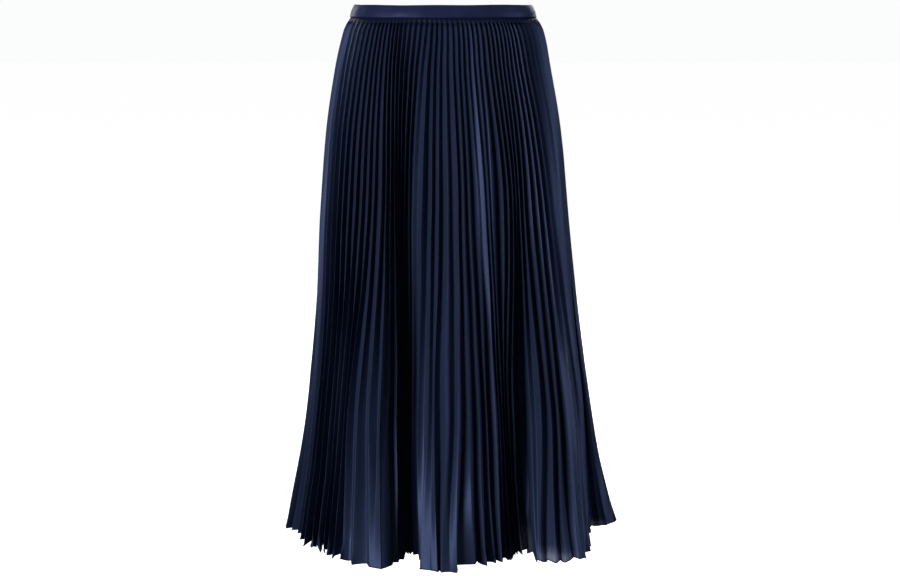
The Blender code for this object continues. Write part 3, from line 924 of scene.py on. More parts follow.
@dataclass(frozen=True)
class Satin:
    """Woven satin: long vertical floats, a soft lustre and slight unevenness of colour, with a painted
    highlight along the outer folds, a painted shade under the band and a paler colour painted in where light
    shines through the hem.
    """

    name: str
    deep: Colour
    clear: Colour
    # Painted highlight: the colour laid along the outer folds, lighter than the cloth.
    painted_crest_highlight: Colour
    roughness: Pair
    lustre: float = 0.4
    gleam: Colour = (0.35, 0.45, 0.95)
    sheen: float = 0.05
    sheen_roughness: float = 0.4
    sheen_tint: Colour = (0.55, 0.62, 0.90)
    # Paler colour painted in where light shines through a single layer of the hem.
    sheer: Colour = (0.16, 0.18, 0.24)
    # Painted shade under the band: the darker colour and lower lustre of the strip just below it.
    pressed: Colour = (0.006, 0.009, 0.026)
    painted_band_shade_lustre: float = 0.12
    # How far the outer folds take the painted highlight.
    painted_crest_highlight_share: float = 0.55
    clouds_per_metre: Triple = (26.0, 26.0, 5.0)
    float_width: float = 0.00035
    float_length: float = 0.0045
    relief: float = 0.12
    relief_depth: float = 0.0002

    def make(self) -> bpy.types.Material:
        """Builds the finish on the cloth's own measure, which runs across and along the weave in metres.

        Returns:
            The material.
        """
        nodes = Nodes(self.name)
        cloth = nodes.add("ShaderNodeUVMap", uv_map="cloth").outputs["UV"]
        floats_per_metre = (1.0 / self.float_width, 1.0 / self.float_length, 1.0)
        weave = nodes.noise(cloth, floats_per_metre, octaves=2.0, harshness=0.6)
        clouds = nodes.noise(nodes.body_place(), self.clouds_per_metre, octaves=3.0, harshness=0.55)
        # Mask of the painted shade on the strip just under the band.
        pressed = nodes.mark("pressed")
        # Painted highlight: the outer folds are blended towards a lighter colour.
        edge = nodes.spread(nodes.mark("fold"), ends=(0.35, 1.0), to=(0.0, self.painted_crest_highlight_share))

        colour = nodes.blend(nodes.spread(clouds, ends=(0.30, 0.70)), self.deep, self.clear)
        colour = nodes.blend(edge, colour, self.painted_crest_highlight)
        # Painted backlight: a paler colour where light shines through the hem's single layer.
        colour = nodes.blend(nodes.mark("sheer"), colour, self.sheer)
        # Painted shade under the band: darker colour and less lustre there.
        nodes.feed("Base Color", nodes.blend(pressed, colour, self.pressed))
        nodes.feed("Specular IOR Level", nodes.spread(pressed, to=(self.lustre, self.painted_band_shade_lustre)))
        nodes.feed("Roughness", nodes.spread(clouds, ends=(0.25, 0.75), to=self.roughness))
        nodes.relief(weave, self.relief, self.relief_depth)
        nodes.fix({
            "Specular Tint": (*self.gleam, 1.0),
            "Sheen Weight": self.sheen,
            "Sheen Roughness": self.sheen_roughness,
            "Sheen Tint": (*self.sheen_tint, 1.0),
        })
        return nodes.material


@dataclass(frozen=True)
class Enamel:
    """Painted metal of the zip, with small scuffs on a satin gloss."""

    name: str
    colour: Colour
    worn: Colour
    roughness: Pair = (0.26, 0.42)
    metallic: float = 0.75
    scuffs_per_metre: float = 900.0
    deepest_scuff: float = 0.35

    def make(self) -> bpy.types.Material:
        """Builds the finish.

        Returns:
            The material.
        """
        nodes = Nodes(self.name)
        scuffs = nodes.noise(nodes.body_place(), (self.scuffs_per_metre,) * 3, octaves=4.0, harshness=0.65)
        share = nodes.spread(scuffs, ends=(0.62, 0.85), to=(0.0, self.deepest_scuff))
        nodes.feed("Base Color", nodes.blend(share, self.colour, self.worn))
        nodes.feed("Roughness", nodes.spread(scuffs, ends=(0.3, 0.7), to=self.roughness))
        nodes.fix({"Metallic": self.metallic})
        return nodes.material


@dataclass(frozen=True)
class Yarn:
    """Matt spun or moulded thread of one colour, with fine fibres."""

    name: str
    colour: Colour
    light: Colour
    roughness: float = 0.7
    fibres_per_metre: float = 1800.0
    relief: float = 0.3
    relief_depth: float = 0.0001

    def make(self) -> bpy.types.Material:
        """Builds the finish.

        Returns:
            The material.
        """
        nodes = Nodes(self.name)
        fibres = nodes.noise(nodes.body_place(), (self.fibres_per_metre,) * 3, octaves=2.0)
        share = nodes.spread(fibres, ends=(0.35, 0.65))
        nodes.feed("Base Color", nodes.blend(share, self.colour, self.light))
        nodes.relief(fibres, self.relief, self.relief_depth)
        nodes.fix({"Roughness": self.roughness})
        return nodes.material


@dataclass(frozen=True)
class PaleFloor:
    """Matt white studio paper."""

    name: str = "studio paper"
    colour: Colour = (0.86, 0.86, 0.87)
    roughness: float = 0.9
    gloss: float = 0.1
    glow: float = 1.15

    def make(self) -> bpy.types.Material:
        """Builds the finish.

        Returns:
            The material.
        """
        nodes = Nodes(self.name)
        nodes.fix({
            "Base Color": (*self.colour, 1.0),
            "Roughness": self.roughness,
            "Specular IOR Level": self.gloss,
            "Emission Color": (*self.colour, 1.0),
            "Emission Strength": self.glow,
        })
        return nodes.material


SKIRT_SATIN = Satin(
    name="navy satin",
    deep=(0.013, 0.021, 0.048),
    clear=(0.018, 0.028, 0.062),
    # Painted highlight along the outer folds, here no lighter than the cloth.
    painted_crest_highlight=(0.018, 0.028, 0.062),
    roughness=(0.38, 0.48),
)
SATIN_BACK = Satin(
    name="navy satin back",
    deep=(0.020, 0.026, 0.070),
    # Painted highlight along the outer folds, lighter than the cloth.
    clear=(0.026, 0.032, 0.080),
    painted_crest_highlight=(0.030, 0.038, 0.090),
    roughness=(0.58, 0.70),
    lustre=0.3,
)
BAND_SATIN = Satin(
    name="navy band satin",
    deep=(0.014, 0.018, 0.058),
    clear=(0.018, 0.023, 0.068),
    # Painted highlight colour for the outer folds, lighter than the band.
    painted_crest_highlight=(0.020, 0.026, 0.075),
    roughness=(0.40, 0.50),
    lustre=0.3,
)
ZIP_ENAMEL = Enamel(name="zip enamel", colour=(0.012, 0.014, 0.030), worn=(0.20, 0.21, 0.24))
NAVY_THREAD = Yarn(name="navy thread", colour=(0.020, 0.028, 0.065), light=(0.040, 0.052, 0.100))
NAVY_COIL = Yarn(name="navy coil", colour=(0.014, 0.017, 0.040), light=(0.024, 0.028, 0.058), roughness=0.45)


# ---------------------------------------------------------------- mesh helpers

def mesh_piece(
    name: str, points: np.ndarray, faces: np.ndarray | list, materials: Sequence[bpy.types.Material]
) -> bpy.types.Object:
    """Smooth-shaded mesh object.

    Args:
        name: name of the piece.
        points: one row for each vertex.
        faces: vertex numbers of each face.
        materials: the piece's materials.

    Returns:
        The new object.
    """
    mesh = bpy.data.meshes.new(name)
    mesh.from_pydata(np.asarray(points).tolist(), [], [list(map(int, face)) for face in faces])
    mesh.shade_smooth()
    mesh.update()
    piece = bpy.data.objects.new(name, mesh)
    for material in materials:
        mesh.materials.append(material)
    bpy.context.scene.collection.objects.link(piece)
    return piece


def grid_faces(rows: int, columns: int, closed: bool = False) -> np.ndarray:
    """Faces between rows of equally many points, from the top down.

    Args:
        rows: number of rows.
        columns: number of points in a row.
        closed: whether the last column joins the first.

    Returns:
        Four vertex numbers for each face.
    """
    steps = columns if closed else columns - 1
    row, step = np.meshgrid(np.arange(rows - 1), np.arange(steps), indexing="ij")
    row, step = row.ravel(), step.ravel()
    after = (step + 1) % columns
    here, below = row * columns, (row + 1) * columns
    return np.column_stack([here + step, below + step, below + after, here + after])


def end_caps(count: int, sides: int) -> list[list[int]]:
    """The two faces that close a tube.

    Args:
        count: number of its vertices.
        sides: sides of its section.

    Returns:
        Vertex numbers of the first and the last ring, both facing out.
    """
    return [list(range(sides)), list(range(count - sides, count))[::-1]]


def add_cloth_measure(piece: bpy.types.Object, across: np.ndarray, along: np.ndarray) -> None:
    """Writes each vertex's place on the cloth, in metres, as the UV map named cloth.

    Args:
        piece: the piece.
        across: distance across the weave, one for each vertex.
        along: distance along it.
    """
    mesh = piece.data
    layer = mesh.uv_layers.new(name="cloth")
    corner = np.zeros(len(mesh.loops), int)
    mesh.loops.foreach_get("vertex_index", corner)
    layer.data.foreach_set("uv", np.column_stack([across[corner], along[corner]]).ravel())


def add_mark(piece: bpy.types.Object, name: str, marks: np.ndarray) -> None:
    """Writes one number for each vertex as a named attribute."""
    attribute = piece.data.attributes.new(name, "FLOAT", "POINT")
    attribute.data.foreach_set("value", marks.astype(np.float32))


def add_thickness(piece: bpy.types.Object, thickness: float, inside: int = 0) -> None:
    """Gives a skin its thickness, inwards.

    Args:
        piece: the piece.
        thickness: thickness of the cloth.
        inside: how many materials further on the inner side's is.
    """
    wall = piece.modifiers.new("thickness", "SOLIDIFY")
    wall.thickness = thickness
    wall.offset = -1.0
    wall.material_offset = inside


def round_rings(side: np.ndarray, up: np.ndarray, sides: int) -> np.ndarray:
    """Round rings of radius 1.

    Args:
        side: one direction across each ring.
        up: the other direction across it.
        sides: points on a ring.

    Returns:
        The points of each ring, from its middle.
    """
    turns = np.linspace(0.0, FULL_TURN, sides, endpoint=False)[None, :, None]
    return np.cos(turns) * side[:, None, :] + np.sin(turns) * up[:, None, :]


def tube_along(path: np.ndarray, radius: float, sides: int) -> tuple[np.ndarray, list[Sequence[int]]]:
    """Closed tube round a path.

    Args:
        path: points of the path.
        radius: radius of the tube.
        sides: sides of its section.

    Returns:
        Its vertices and faces.
    """
    ahead = np.gradient(path, axis=0)
    ahead /= np.linalg.norm(ahead, axis=1)[:, None]
    side = np.cross(ahead, UP)
    side /= np.linalg.norm(side, axis=1)[:, None]
    points = path[:, None, :] + radius * round_rings(side, np.cross(side, ahead), sides)
    faces = [*grid_faces(len(path), sides, closed=True), *end_caps(len(path) * sides, sides)]
    return points.reshape(-1, 3), faces


def rods(
    starts: np.ndarray, ends: np.ndarray, radius: float, sides: int
) -> tuple[np.ndarray, list[list[int]]]:
    """Many short level rods with eased ends, as one mesh.

    Args:
        starts: one end of each rod.
        ends: its other end.
        radius: radius of the rods.
        sides: sides of their section.

    Returns:
        Their vertices and faces.
    """
    stations = np.array([0.0, 0.12, 0.88, 1.0])
    radii = radius * np.array([0.5, 1.0, 1.0, 0.5])
    ahead = ends - starts
    out = np.cross(ahead, UP)
    out /= np.linalg.norm(out, axis=1)[:, None]
    ring = round_rings(out, np.tile(UP, (len(out), 1)), sides)
    middles = starts[:, None, :] + stations[None, :, None] * ahead[:, None, :]
    points = middles[:, :, None, :] + radii[None, :, None, None] * ring[:, None, :, :]
    per_rod = len(stations) * sides
    rod = [*grid_faces(len(stations), sides, closed=True).tolist(), *end_caps(per_rod, sides)]
    firsts = range(0, per_rod * len(starts), per_rod)
    return points.reshape(-1, 3), [[first + corner for corner in face] for first in firsts for face in rod]


# ---------------------------------------------------------------- the pleated panels

class PanelPart(Enum):
    """The three cut panels: name of the solid, first and last pleat, and the seed of its unevenness."""

    FRONT = ("skirt_front", -24.5, 24.5, 11)
    BACK_LEFT = ("skirt_back_left", 24.5, 49.5, 23)
    BACK_RIGHT = ("skirt_back_right", 49.5, 75.5, 37)


class Curl(NamedTuple):
    """One wave of the hem's curls."""

    waves_per_pleat: float
    phase: float

    def at(self, pleats: np.ndarray) -> np.ndarray:
        """The wave's height at each pleat number, from -1 to 1."""
        return np.sin(FULL_TURN * self.waves_per_pleat * pleats + self.phase)


@dataclass
class PleatedPanel:
    """One sunray-pleated panel with its rolled hem."""

    form: SkirtForm
    part: PanelPart
    satin: bpy.types.Material
    inside: bpy.types.Material
    top_drop: float = 0.0080
    thickness: float = 0.0004
    hem_and_seam: float = 0.014
    top_rows: int = 9
    top_rows_end: float = 0.024
    middle_rows: int = 78
    middle_rows_start: float = 0.026
    middle_rows_above_hem: float = 0.012
    hem_row_heights: tuple[float, ...] = (0.0075, 0.0045, 0.0022, 0.0010, 0.0)
    face_places: tuple[float, ...] = (0.04, 0.35, 0.65, 0.96)
    crease_softness: float = 0.3
    uneven_drops: Pair = (0.02, 0.30)
    uneven_at_waist: float = 0.6
    wander_size: float = 0.10
    swell_size: float = 0.10
    swell_limits: Pair = (0.7, 1.2)
    bow_size: float = 0.045
    # Where the painted shade under the band fades out.
    painted_band_shade_drops: Pair = (0.0150, 0.0215)
    hem_sway: float = 0.0016
    sway_start: float = 0.45
    lift_start: float = 0.60
    hem_radius: float = 0.0008
    hem_sides: int = 6
    hem_sink: float = 0.2
    curl_height: float = 0.034
    curl_size: float = 0.0040
    curl_out: Curl = Curl(1.13, 0.7)
    curl_aside: Curl = Curl(0.87, 2.1)
    curl_up: Curl = Curl(1.41, 0.0)
    # Share of a spot's height, up from the hem, over which the painted backlight is full.
    painted_backlight_full_share: float = 0.3

    def __post_init__(self) -> None:
        """Reads the part and draws its unevenness."""
        self.node, self.first, self.last, seed = self.part.value
        self.pleats = folds_between(self.first, self.last)
        count = len(self.pleats)
        self.wander = SlowNoise(seed, count)
        self.swell = SlowNoise(seed + 1, count)
        self.bow = SlowNoise(seed + 2, count)
        self.sway = SlowNoise(seed + 3, count, waves=(1.0,), sizes=(1.0,))

    def drops(self) -> np.ndarray:
        """Drops of the rows: closer under the band and at the hem.

        Returns:
            The drops, growing.
        """
        length = self.form.length
        top = np.linspace(self.top_drop, self.top_rows_end, self.top_rows)
        middle = np.linspace(self.middle_rows_start, length - self.middle_rows_above_hem, self.middle_rows)
        return np.concatenate([top, middle, length - np.array(self.hem_row_heights)])

    def ring(self, drop: float) -> tuple[np.ndarray, np.ndarray]:
        """Points of the cloth at one drop.

        Args:
            drop: drop below the origin.

        Returns:
            The points seen from above, and how near each is to an inner fold, -1, or an outer one, 1.
        """
        uneven = self.uneven_at_waist + (1.0 - self.uneven_at_waist) * self.form.share_down(drop)
        uneven *= ramp(drop, *self.uneven_drops)
        wander = self.wander_size * uneven * self.wander.at(drop)
        swell = np.clip(1.0 + self.swell_size * uneven * self.swell.at(drop), *self.swell_limits)
        corners = self.form.corners(self.pleats, drop, wander, swell)
        bow = self.bow_size * uneven * self.bow.at(drop)
        start, end = corners[:-1], corners[1:]
        across = end - start
        normal = np.column_stack([across[:, 1], -across[:, 0]])
        columns = []
        for place in self.face_places:
            rise = 4.0 * place * (1.0 - place) * bow[:-1]
            columns.append(start + across * place + normal * rise[:, None])
        eased = corners.copy()
        middle = 0.5 * (columns[0][1:] + columns[-1][:-1])
        eased[1:-1] += self.crease_softness * (middle - corners[1:-1])
        points = np.stack([eased[:-1], *columns], axis=1).reshape(-1, 2)
        signs = np.where(np.arange(len(self.pleats)) % 2 == 1, 1.0, -1.0)
        fade = np.array([1.0, *(1.0 - 2.0 * place for place in self.face_places)])
        near = signs[:-1, None] * fade[None, :]
        return np.vstack([points, eased[-1:]]), np.append(near.ravel(), signs[-1])

    def ruffle(
        self, at: np.ndarray, drop: float, ring: np.ndarray, height: np.ndarray
    ) -> tuple[np.ndarray, np.ndarray]:
        """Curls the hem's edge where it is loose.

        Args:
            at: pleat number of each point.
            drop: drop below the origin.
            ring: the points seen from above.
            height: their heights.

        Returns:
            The curled points and their heights.
        """
        loose = sum(spot.strength * np.exp(-(((at - spot.pleat) / spot.width) ** 2)) for spot in RUFFLES)
        loose = loose * ramp(drop, self.form.length - self.curl_height, self.form.length) ** 2
        away = ring / np.linalg.norm(ring, axis=1)[:, None]
        side = np.column_stack([away[:, 1], -away[:, 0]])
        sweep = away * self.curl_out.at(at)[:, None] + side * self.curl_aside.at(at)[:, None]
        moved = ring + self.curl_size * loose[:, None] * sweep
        return moved, height + self.curl_size * loose * self.curl_up.at(at)

    def painted_backlight_shares(self, at: np.ndarray, drop: float) -> np.ndarray:
        """How much paler colour is painted in at each point, for light shining through the single layer of
        the hem.

        Args:
            at: pleat number of each point.
            drop: drop below the origin.

        Returns:
            A share for each point.
        """
        above = self.form.length - drop
        shares = np.zeros(len(at))
        for spot in PAINTED_BACKLIGHT_SPOTS:
            wide = np.exp(-(((at - spot.pleat) / spot.width) ** 4))
            tall = 1.0 - ramp(above, self.painted_backlight_full_share * spot.height, spot.height)
            shares += spot.strength * wide * tall
        return np.clip(shares, 0.0, 1.0)

    def row(self, drop: float) -> tuple[np.ndarray, dict[str, np.ndarray]]:
        """One row of the panel's vertices, with its sway, lifts and curls.

        Args:
            drop: drop below the origin.

        Returns:
            The vertices, and the named numbers that the finish and the cloth's measure need.
        """
        ring, near = self.ring(drop)
        per_face = len(self.face_places) + 1
        faces = np.arange(len(ring)) / per_face
        at = self.first + 0.5 * faces
        sway = np.interp(faces, np.arange(len(self.pleats)), self.sway.at(drop))
        height = -drop + self.hem_sway * ramp(drop, self.sway_start, self.form.length) * sway
        height -= self.form.dip(at, drop)
        height += MM * np.interp(at, *np.array(HEM_LIFTS).T) * ramp(drop, self.lift_start, self.form.length)
        ring, height = self.ruffle(at, drop, ring, height)
        marks = {
            "fold": near,
            # Paler colour painted in for light through the hem's single layer.
            "sheer": self.painted_backlight_shares(at, drop),
            # Painted shade on the strip just under the band.
            "pressed": np.full(len(ring), 1.0 - ramp(drop, *self.painted_band_shade_drops)),
            "across": faces * self.form.face_width(drop),
        }
        return np.column_stack([ring, height]), marks

    def build(self) -> bpy.types.Object:
        """Builds the panel's shell.

        Returns:
            The panel.
        """
        drops = self.drops()
        rows, marks = zip(*(self.row(drop) for drop in drops))
        self.hem_path = rows[-1]
        columns = len(rows[0])
        name = self.node.replace("skirt", "panel")
        faces = grid_faces(len(drops), columns)
        panel = mesh_piece(name, np.concatenate(rows), faces, [self.satin, self.inside])
        across = np.concatenate([row["across"] for row in marks])
        add_cloth_measure(panel, across, np.repeat(-drops, columns))
        # Writes the fold mark and the masks of the painted backlight and the painted band shade.
        for mark in ("fold", "sheer", "pressed"):
            add_mark(panel, mark, np.concatenate([row[mark] for row in marks]))
        add_thickness(panel, self.thickness, inside=1)
        return panel

    def build_hem(self) -> bpy.types.Object:
        """Builds the narrow rolled edge along the bottom of the panel.

        Returns:
            The rolled hem.
        """
        path = self.hem_path - self.hem_sink * self.hem_radius * UP
        points, faces = tube_along(path, self.hem_radius, self.hem_sides)
        hem = mesh_piece(self.node.replace("skirt", "hem"), points, faces, [self.satin])
        around = np.tile(np.arange(self.hem_sides) * MM, len(path))
        add_cloth_measure(hem, np.repeat(lengths_along(path), self.hem_sides), around)
        return hem

    def declare(self, panel: bpy.types.Object, hem: bpy.types.Object) -> None:
        """Puts the panel in the frame.

        Args:
            panel: the panel's shell.
            hem: its rolled hem.
        """
        for piece in (panel, hem):
            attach(piece, SKIRT_BODY)
            log.info("%s: %d faces", piece.name, len(piece.data.polygons))
        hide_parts(self.node)


# ---------------------------------------------------------------- the waistband

@dataclass
class Waistband:
    """Plain fitted strip of doubled satin round the waist."""

    form: SkirtForm
    satin: bpy.types.Material
    height: float = 0.0160
    thickness: float = 0.0022
    seam_pleat: float = 49.5
    ease_top: float = 0.0050
    lower_ease: float = 0.88
    lip: float = 0.0007
    steps: int = 220
    profile_steps: int = 9
    crown: float = 0.0005
    crown_power: float = 0.7
    rounding: float = 0.35
    edge_shares: Pair = (0.8, 0.3)
    lower_edge: Pair = (0.3, 0.2)
    ripple: float = 0.00035
    ripple_waves: tuple[Pair, ...] = ((1.0, 7), (0.8, 11), (0.6, 17), (0.5, 26))
    wave_lift: float = 0.0002
    lift_waves: tuple[int, ...] = (3, 8)
    seed: int = 5

    def profile(self) -> np.ndarray:
        """Section of the strip: out from its inner face, and up from its lower edge.

        Returns:
            One row for each point, going up the outer face and down the inner one.
        """
        ups = np.linspace(0.0, 1.0, self.profile_steps)
        bulge = self.crown * np.sin(math.pi * ups) ** self.crown_power
        edge = self.rounding * self.thickness
        outs = [share * self.thickness for share in self.edge_shares]
        outer = [(self.thickness + extra, up * self.height) for up, extra in zip(ups, bulge)]
        top = [(out, self.height + edge) for out in outs]
        inner = [(0.0, up * self.height) for up in ups[::-1]]
        bottom = [(out, -low * edge) for out, low in zip(outs, self.lower_edge)]
        return np.array(outer + top + inner + bottom[::-1])

    def point(self, turn: float, out: float, rise: float, phases: np.ndarray) -> Triple:
        """One point of the strip's skin.

        Args:
            turn: angle from the centre front, in radians.
            out: distance out from the inner face.
            rise: height above the lower edge.
            phases: phases of the strip's ripples and lifts.

        Returns:
            The point.
        """
        width, depth = WAIST.half_width, WAIST.half_depth
        ripples = zip(self.ripple_waves, phases)
        wave = sum(size * math.sin(count * turn + phase) for (size, count), phase in ripples)
        lifts = zip(self.lift_waves, phases[len(self.ripple_waves):])
        lift = sum(math.sin(count * turn + phase) for count, phase in lifts)
        normal = np.array([math.sin(turn) / width, -math.cos(turn) / depth])
        normal /= np.linalg.norm(normal)
        share = rise / self.height
        ease = self.ease_top * (share if share > 0.5 else self.lower_ease * share) - self.lip * (1.0 - share)
        puff = self.ripple * wave * math.sin(math.pi * min(max(share, 0.0), 1.0))
        reach = out - self.thickness + (puff if out > 0.5 * self.thickness else 0.0)
        base = np.array([WAIST.shift + (width - ease) * math.sin(turn), -(depth - ease) * math.cos(turn)])
        dip = self.form.dip(turn / FULL_TURN * self.form.pleats, 0.0)
        return (*(base + normal * reach), rise - 0.5 * self.height + self.wave_lift * lift * share - dip)

    def build(self) -> bpy.types.Object:
        """Builds the strip, whose ends meet at the centre back.

        Returns:
            The waistband.
        """
        half_gap = 0.5 * SEAM_GAP / WAIST.half_width
        start = self.form.plain_turn(self.seam_pleat) + half_gap
        turns = np.linspace(start, start + 2.0 * (math.pi - half_gap), self.steps + 1)
        section = self.profile()
        waves = len(self.ripple_waves) + len(self.lift_waves)
        phases = np.random.default_rng(self.seed).uniform(0.0, FULL_TURN, waves)
        points = np.array([self.point(turn, out, rise, phases) for turn in turns for out, rise in section])
        sleeve = grid_faces(len(turns), len(section), closed=True)[:, ::-1]
        ends = end_caps(len(points), len(section))
        band = mesh_piece("satin_waistband", points, [*sleeve, *ends], [self.satin])
        along = np.repeat(turns * 0.5 * (WAIST.half_width + WAIST.half_depth), len(section))
        add_cloth_measure(band, np.tile(section.sum(axis=1), len(turns)), along)
        return band

    def declare(self, band: bpy.types.Object) -> None:
        """Puts the band in the frame.

        Args:
            band: the waistband.
        """
        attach(band, SKIRT_BODY)
        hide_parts("waistband")


# ---------------------------------------------------------------- the stitching and the zip

@dataclass
class StitchRow:
    """Row of stitches under the band that holds the tops of the pleats flat."""

    form: SkirtForm
    thread: bpy.types.Material
    drop: float = 0.0137
    pitch: float = 0.0027
    stitch: float = 0.0019
    radius: float = 0.00018
    sides: int = 5
    opening: float = 0.004

    def build(self) -> bpy.types.Object:
        """Lays the stitches over the outer folds, all round but for the opening.

        Returns:
            The row.
        """
        pleats = folds_between(-0.5 * self.form.pleats, 0.5 * self.form.pleats)
        corners = self.form.corners(pleats, self.drop)
        line = np.column_stack([corners, -self.drop - self.form.dip(pleats, self.drop)])[::2]
        lengths = lengths_along(line)
        begins = np.arange(self.opening, lengths[-1] - self.opening - self.stitch, self.pitch)
        ends = [
            np.column_stack([np.interp(at, lengths, line[:, axis]) for axis in range(3)])
            for at in (begins, begins + self.stitch)
        ]
        points, faces = rods(*ends, self.radius, self.sides)
        row = mesh_piece("waist_stitches", points, faces, [self.thread])
        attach(row, SKIRT_BODY)
        log.info("%s: %d stitches", row.name, len(begins))
        return row


class ZipHalf(Enum):
    """The two tapes of the zip and the way each lies from the centre back seam."""

    LEFT = ("zip_tape_left", 1.0)
    RIGHT = ("zip_tape_right", -1.0)


@dataclass
class ConcealedZip:
    """Tapes and coil inside the centre back seam, and the dress of the slider and its pull."""

    form: SkirtForm
    tape_cloth: bpy.types.Material
    coil_yarn: bpy.types.Material
    enamel: bpy.types.Material
    seam_pleat: float = 49.5
    pleats_each_side: int = 3
    top_drop: float = 0.0100
    bottom_drop: float = 0.2000
    tape_rows: int = 48
    tape_columns: int = 6
    tape_width: float = 0.0110
    tape_gap: float = 0.0006
    tape_thickness: float = 0.0003
    clearance: float = 0.0011
    coil_inset_top: float = 0.002
    coil_inset_bottom: float = 0.004
    tooth_pitch: float = 0.0014
    tooth_length: float = 0.0036
    tooth_radius: float = 0.00045
    tooth_sides: int = 6
    tooth_slant: float = 0.25
    bevel: float = 0.00012
    bevel_segments: int = 2

    def inside_line(self, drop: float, aside: np.ndarray, inward: float) -> np.ndarray:
        """Points inside the cloth beside the seam.

        Args:
            drop: drop below the origin.
            aside: distances from the seam, towards the wearer's left.
            inward: distance inside the inner folds.

        Returns:
            One point for each distance.
        """
        reach = self.pleats_each_side
        pleats = folds_between(self.seam_pleat - reach, self.seam_pleat + reach)
        inner_folds = self.form.corners(pleats, drop)[2:-2:2][::-1]
        lengths = lengths_along(inner_folds)
        lengths -= lengths[len(inner_folds) // 2]
        across = np.interp(aside, lengths, inner_folds[:, 0])
        depth = np.interp(aside, lengths, inner_folds[:, 1])
        low = -drop - self.form.dip(np.full(len(aside), self.seam_pleat), drop)
        return np.column_stack([across, depth - inward, low])

    def build_tape(self, half: ZipHalf) -> bpy.types.Object:
        """Builds one tape.

        Args:
            half: which of the two.

        Returns:
            The tape.
        """
        name, way = half.value
        aside = way * np.linspace(0.5 * self.tape_gap, self.tape_width, self.tape_columns)
        drops = np.linspace(self.top_drop, self.bottom_drop, self.tape_rows)
        points = np.concatenate([self.inside_line(drop, aside, self.clearance) for drop in drops])
        tape = mesh_piece(name, points, grid_faces(len(drops), len(aside)), [self.tape_cloth])
        add_cloth_measure(tape, np.tile(aside, len(drops)), np.repeat(-drops, len(aside)))
        add_thickness(tape, self.tape_thickness)
        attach(tape, SKIRT_BODY)
        log.info("%s: %.3f by %.3f m", name, self.tape_width, self.bottom_drop - self.top_drop)
        return tape

    def build_coil(self) -> bpy.types.Object:
        """Builds the closed coil down the middle of the tapes.

        Returns:
            The coil.
        """
        first, last = self.top_drop + self.coil_inset_top, self.bottom_drop - self.coil_inset_bottom
        drops = np.arange(first, last, self.tooth_pitch)
        half = 0.5 * self.tooth_length
        inward = self.clearance + self.tape_thickness + self.tooth_radius
        teeth = np.array([self.inside_line(drop, np.array([-half, half]), inward) for drop in drops])
        teeth[:, 0, 2] -= self.tooth_slant * self.tooth_pitch
        teeth[:, 1, 2] += self.tooth_slant * self.tooth_pitch
        points, faces = rods(teeth[:, 0], teeth[:, 1], self.tooth_radius, self.tooth_sides)
        coil = mesh_piece("zip_coil", points, faces, [self.coil_yarn])
        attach(coil, SKIRT_BODY)
        log.info("%s: %d teeth", coil.name, len(drops))
        return coil

    def dress_metal(self) -> None:
        """Gives the slider and its pull their enamel and eased edges."""
        for name in ("zip_slider", "zip_pull"):
            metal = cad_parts[name]
            metal.data.materials.clear()
            metal.data.materials.append(self.enamel)
            edges = metal.modifiers.new("eased edges", "BEVEL")
            edges.width = self.bevel
            edges.segments = self.bevel_segments
            edges.limit_method = "ANGLE"
            log.info("%s: enamelled", name)


# ---------------------------------------------------------------- the studio

@dataclass(frozen=True)
class SoftBox:
    """One large soft lamp that looks at a point of the skirt."""

    name: str
    place: Triple
    size: Pair
    power: float
    tint: Colour = (1.0, 1.0, 1.0)
    aim: Triple = (0.0, 0.0, -0.35)

    def build(self) -> None:
        """Adds the lamp."""
        lamp = bpy.data.lights.new(self.name, "AREA")
        lamp.color = self.tint
        lamp.shape = "RECTANGLE"
        lamp.size, lamp.size_y = self.size
        lamp.energy = self.power
        holder = bpy.data.objects.new(self.name, lamp)
        holder.location = self.place
        look = Vector(self.aim) - Vector(self.place)
        holder.rotation_euler = look.to_track_quat("-Z", "Y").to_euler()
        holder.visible_camera = False
        bpy.context.scene.collection.objects.link(holder)


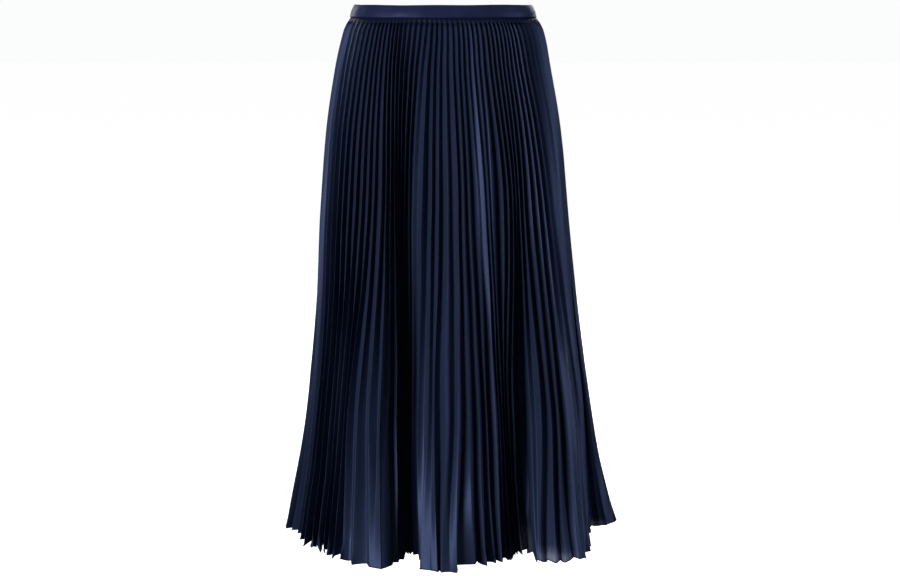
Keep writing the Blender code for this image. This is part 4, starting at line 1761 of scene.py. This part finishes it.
@dataclass
class Studio:
    """Pale floor, soft lamps and the camera."""

    paper: bpy.types.Material
    floor_height: float = -1.15
    floor_half: float = 20.0
    room_colour: Colour = (0.97, 0.975, 0.98)
    camera_distance: float = 2.8
    camera_height: float = 0.078
    camera_side: float = 0.009
    camera_pitch: float = 0.166
    lens: float = 80.0
    sensor: float = 36.0
    boxes: tuple[SoftBox, ...] = (
        SoftBox("key softbox", place=(-3.15, -3.3, 0.3), size=(2.1, 2.6), power=182.0),
        SoftBox("right softbox", place=(3.3, -0.5, 0.2), size=(1.6, 2.4), power=48.0, tint=(0.76, 0.85, 1.0)),
        SoftBox("camera fill", place=(-0.2, -3.4, 1.2), size=(1.2, 0.9), power=5.0),
        SoftBox("back softbox", place=(1.6, 3.9, 0.5), size=(2.1, 2.4), power=110.0),
        SoftBox("back fill", place=(-2.6, 3.1, 0.4), size=(1.4, 2.0), power=30.0),
        SoftBox("top softbox", place=(0.0, 0.1, 1.7), size=(0.9, 0.9), power=8.0),
    )

    def build_floor(self) -> bpy.types.Object:
        """Adds a wide level floor of pale paper.

        Returns:
            The floor.
        """
        half, low = self.floor_half, self.floor_height
        corners = np.array([(-half, -half, low), (half, -half, low), (half, half, low), (-half, half, low)])
        floor = mesh_piece("studio_floor", corners, [(0, 1, 2, 3)], [self.paper])
        floor.visible_diffuse = False
        floor.visible_glossy = False
        log.info("%s: %.0f m wide", floor.name, 2.0 * half)
        return floor

    def build_room(self) -> None:
        """Adds the pale room, which the camera sees and which lights nothing."""
        room = bpy.data.worlds.new("room")
        room.use_nodes = True
        room.node_tree.nodes["Background"].inputs["Color"].default_value = (*self.room_colour, 1.0)
        bpy.context.scene.world = room
        room.cycles_visibility.diffuse = False
        room.cycles_visibility.glossy = False

    def build_camera(self) -> None:
        """Adds the camera, a little above the waist and looking slightly down."""
        data = bpy.data.cameras.new("camera")
        data.lens = self.lens
        data.sensor_width = self.sensor
        camera = bpy.data.objects.new("camera", data)
        camera.location = (self.camera_side, -self.camera_distance, self.camera_height)
        camera.rotation_euler = (0.5 * math.pi - self.camera_pitch, 0.0, 0.0)
        bpy.context.scene.collection.objects.link(camera)
        bpy.context.scene.camera = camera

    def build(self) -> None:
        """Adds the floor, the lamps, the room round them and the camera."""
        self.build_floor()
        for box in self.boxes:
            box.build()
        self.build_room()
        bpy.context.scene.view_settings.view_transform = "Standard"
        self.build_camera()


# ---------------------------------------------------------------- putting it together


def main() -> None:
    """Builds and dresses every piece."""
    logging.basicConfig(level=logging.INFO, format="%(name)s: %(message)s")
    satin = SKIRT_SATIN.make()
    satin_back = SATIN_BACK.make()
    Studio(PaleFloor().make()).build()
    form = SkirtForm()
    for part in PanelPart:
        panel = PleatedPanel(form, part, satin, satin_back)
        panel.declare(panel.build(), panel.build_hem())
    band = Waistband(form, BAND_SATIN.make())
    band.declare(band.build())
    StitchRow(form, NAVY_THREAD.make()).build()
    closure = ConcealedZip(form, satin_back, NAVY_COIL.make(), ZIP_ENAMEL.make())
    for half in ZipHalf:
        closure.build_tape(half)
    closure.build_coil()
    closure.dress_metal()


if __name__ == "__main__":
    main()
